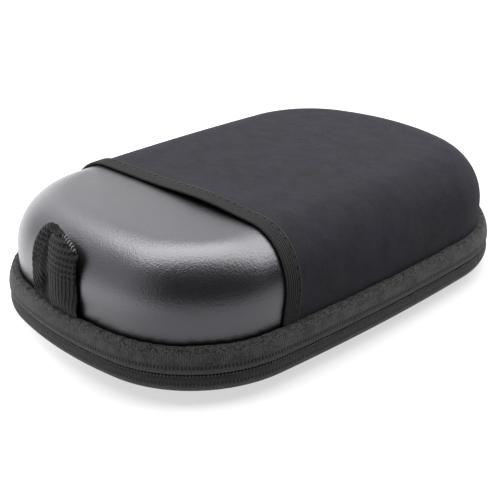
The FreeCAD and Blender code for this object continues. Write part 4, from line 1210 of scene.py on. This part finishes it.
def build_sliders():
    """Two zip sliders facing each other, each with its pull: a slotted plate in a ribbed rubber grip."""
    for hand, side in (("right", 1), ("left", -1)):
        place = slider_frame(side)

        def stamped(name, outlines, thickness, bevel, near, material=METAL):
            return flat_part(name, outlines, thickness, bevel, material, near, side, place)

        body = [stamped("front", [rounded(-4.5, 4.5, 3.5, 1.5, 0.7)], 1.3, 0.35, 6.3),
                stamped("crown", [rounded(-3.4, 3.2, 2.1, 1.0, 0.4)], 0.7, 0.3, 7.35),
                stamped("back", [rounded(-4.5, 4.5, 2.0, 0.9)], 0.7, 0.2, 0.0),
                stamped("neck", [rounded(-1.5, 1.5, 0.25, 0.1)], 6.1, 0.05, 0.4)]
        angles = np.linspace(0.02, math.pi - 0.02, 28)
        bow = [(7.7 + 2.0 * math.sin(a) ** 0.5, -2.2 * math.cos(a), 0) for a in angles]
        body.append(placed_tube("bail", bow, 0.55, METAL, place, side))
        put(join(f"{hand}_zip_slider", *body), f"{hand}_slider_body", "slider_metal", f"{hand}_slider")
        plate = [rounded(-4.55, 16.45, 2.8, 1.6, 0.5), rounded(-3.25, 3.75, 1.0, 0.7)[::-1]]
        tab = stamped(f"{hand}_pull_plate", plate, 1.0, 0.3, 8.0)
        put(tab, f"{hand}_pull", "slider_metal", f"{hand}_pull_tab")
        grip = [stamped("sleeve", [rounded(5.45, 17.45, 3.6, 2.2, 0.4)], 2.6, 0.9, 7.2, RUBBER)]
        for k in range(4):
            for out in (9.72, 7.28):
                path = [(out, 9.0 + k * 1.9, h) for h in np.linspace(-2.2, 2.2, 9)]
                grip.append(placed_tube(f"rib_{k}_{out}", path, 0.22, RUBBER, place, side, 8))
        put(join(f"{hand}_pull_grip", *grip), f"{hand}_pull", "pull_rubber", f"{hand}_pull_sleeve")


# ------------------------------------------------------------------ camera, floor and light

CAMERA_ANGLES = (-42.82, 24.65, -1.29)
CAMERA_AIM = (-0.0053, -0.0173, 0.031757)
CAMERA_DISTANCE = 0.48477
BEHIND = (-0.55, 0.83, 0.0)
# Each glow: its direction, where it starts and is full as a cosine, and its strength.
GLOWS = ((BEHIND, 0.3, 0.8, 1.1), ((0.50, 0.75, 0.43), 0.6, 0.97, 1.35),
         ((0.0, 0.0, -1.0), -0.11, -0.07, 1.0))


def build_camera():
    """The camera, turned to show the front and the loop's end, from above, with a small tilt."""
    turn, height, tilt = (math.radians(angle) for angle in CAMERA_ANGLES)
    back = Vector((math.sin(turn) * math.cos(height), -math.cos(turn) * math.cos(height), math.sin(height)))
    right = Vector((math.cos(turn), math.sin(turn), 0))
    up = back.cross(right)
    aim = Vector((0, 0, CAMERA_AIM[2])) + right * CAMERA_AIM[0] + up * CAMERA_AIM[1]
    seen_right = right * math.cos(tilt) + up * math.sin(tilt)
    seen_up = -right * math.sin(tilt) + up * math.cos(tilt)
    data = bpy.data.cameras.new("camera")
    data.lens, data.sensor_width = 72.92, 36.0
    data.clip_start, data.clip_end = 0.01, 50
    camera = link("camera", data)
    facing = Matrix((seen_right, seen_up, back)).transposed().to_4x4()
    camera.matrix_world = Matrix.Translation(aim + back * CAMERA_DISTANCE) @ facing
    bpy.context.scene.camera = camera


def build_floor():
    """A pale floor that glows a little behind the case and at a distance."""
    mesh = bpy.data.meshes.new("floor")
    with editing(mesh) as bm:
        bmesh.ops.create_grid(bm, x_segments=2, y_segments=2, size=24.0)
    floor = link("floor", mesh)
    floor.location.z = -0.0002
    look = Look("pale_floor", (0.28, 0.28, 0.282), 0.9, Emission_Color=(1, 1, 1.01, 1))
    look.color(look.noise(400.0, detail=1.0), (0.31, 0.31, 0.312), (0.318, 0.318, 0.32))
    behind = look.ramp(look.toward(look.object_mm(), BEHIND), 30, 220, 0.62, 1.7)
    away = look.node("ShaderNodeVectorMath", {0: look.object_mm()}, operation="LENGTH")
    distant = look.ramp(away.outputs["Value"], 500, 1100, 0.0, 1.3)
    look.feed(look.shader["Emission Strength"], look.math("MAXIMUM", behind, distant))
    floor.data.materials.append(look.material)


def build_light():
    """A soft overhead box across the view, and surroundings that are bright behind and dim in front."""
    data = bpy.data.lights.new("overhead_box", "AREA")
    data.shape = "RECTANGLE"
    data.size, data.size_y, data.energy = 2.1, 0.75, 32.0
    lamp = link("overhead_box", data)
    lamp.location = (0.42, -0.03, 0.95)
    lamp.rotation_euler.z = math.radians(-42.8)
    world = bpy.data.worlds.new("studio")
    bpy.context.scene.world = world
    world.use_nodes = True
    sky = Nodes(world.node_tree)
    background = world.node_tree.nodes["Background"].inputs
    background["Color"].default_value = (1, 1, 1.02, 1)
    where = sky.node("ShaderNodeTexCoord", {}).outputs["Generated"]
    levels = [sky.ramp(sky.toward(where, direction), start, end, 0.03, level)
              for direction, start, end, level in GLOWS]
    sky.feed(background["Strength"], sky.plus(sky.plus(levels[0], levels[1]), levels[2]))
    bpy.context.scene.view_settings.view_transform = "Standard"


build_camera()
build_floor()
build_light()
build_lid_cover()
build_binding()
build_band()
build_coils()
build_loop()
build_tray()
build_lid_inside()
build_net()
build_insert()
build_hinge()
build_sliders()
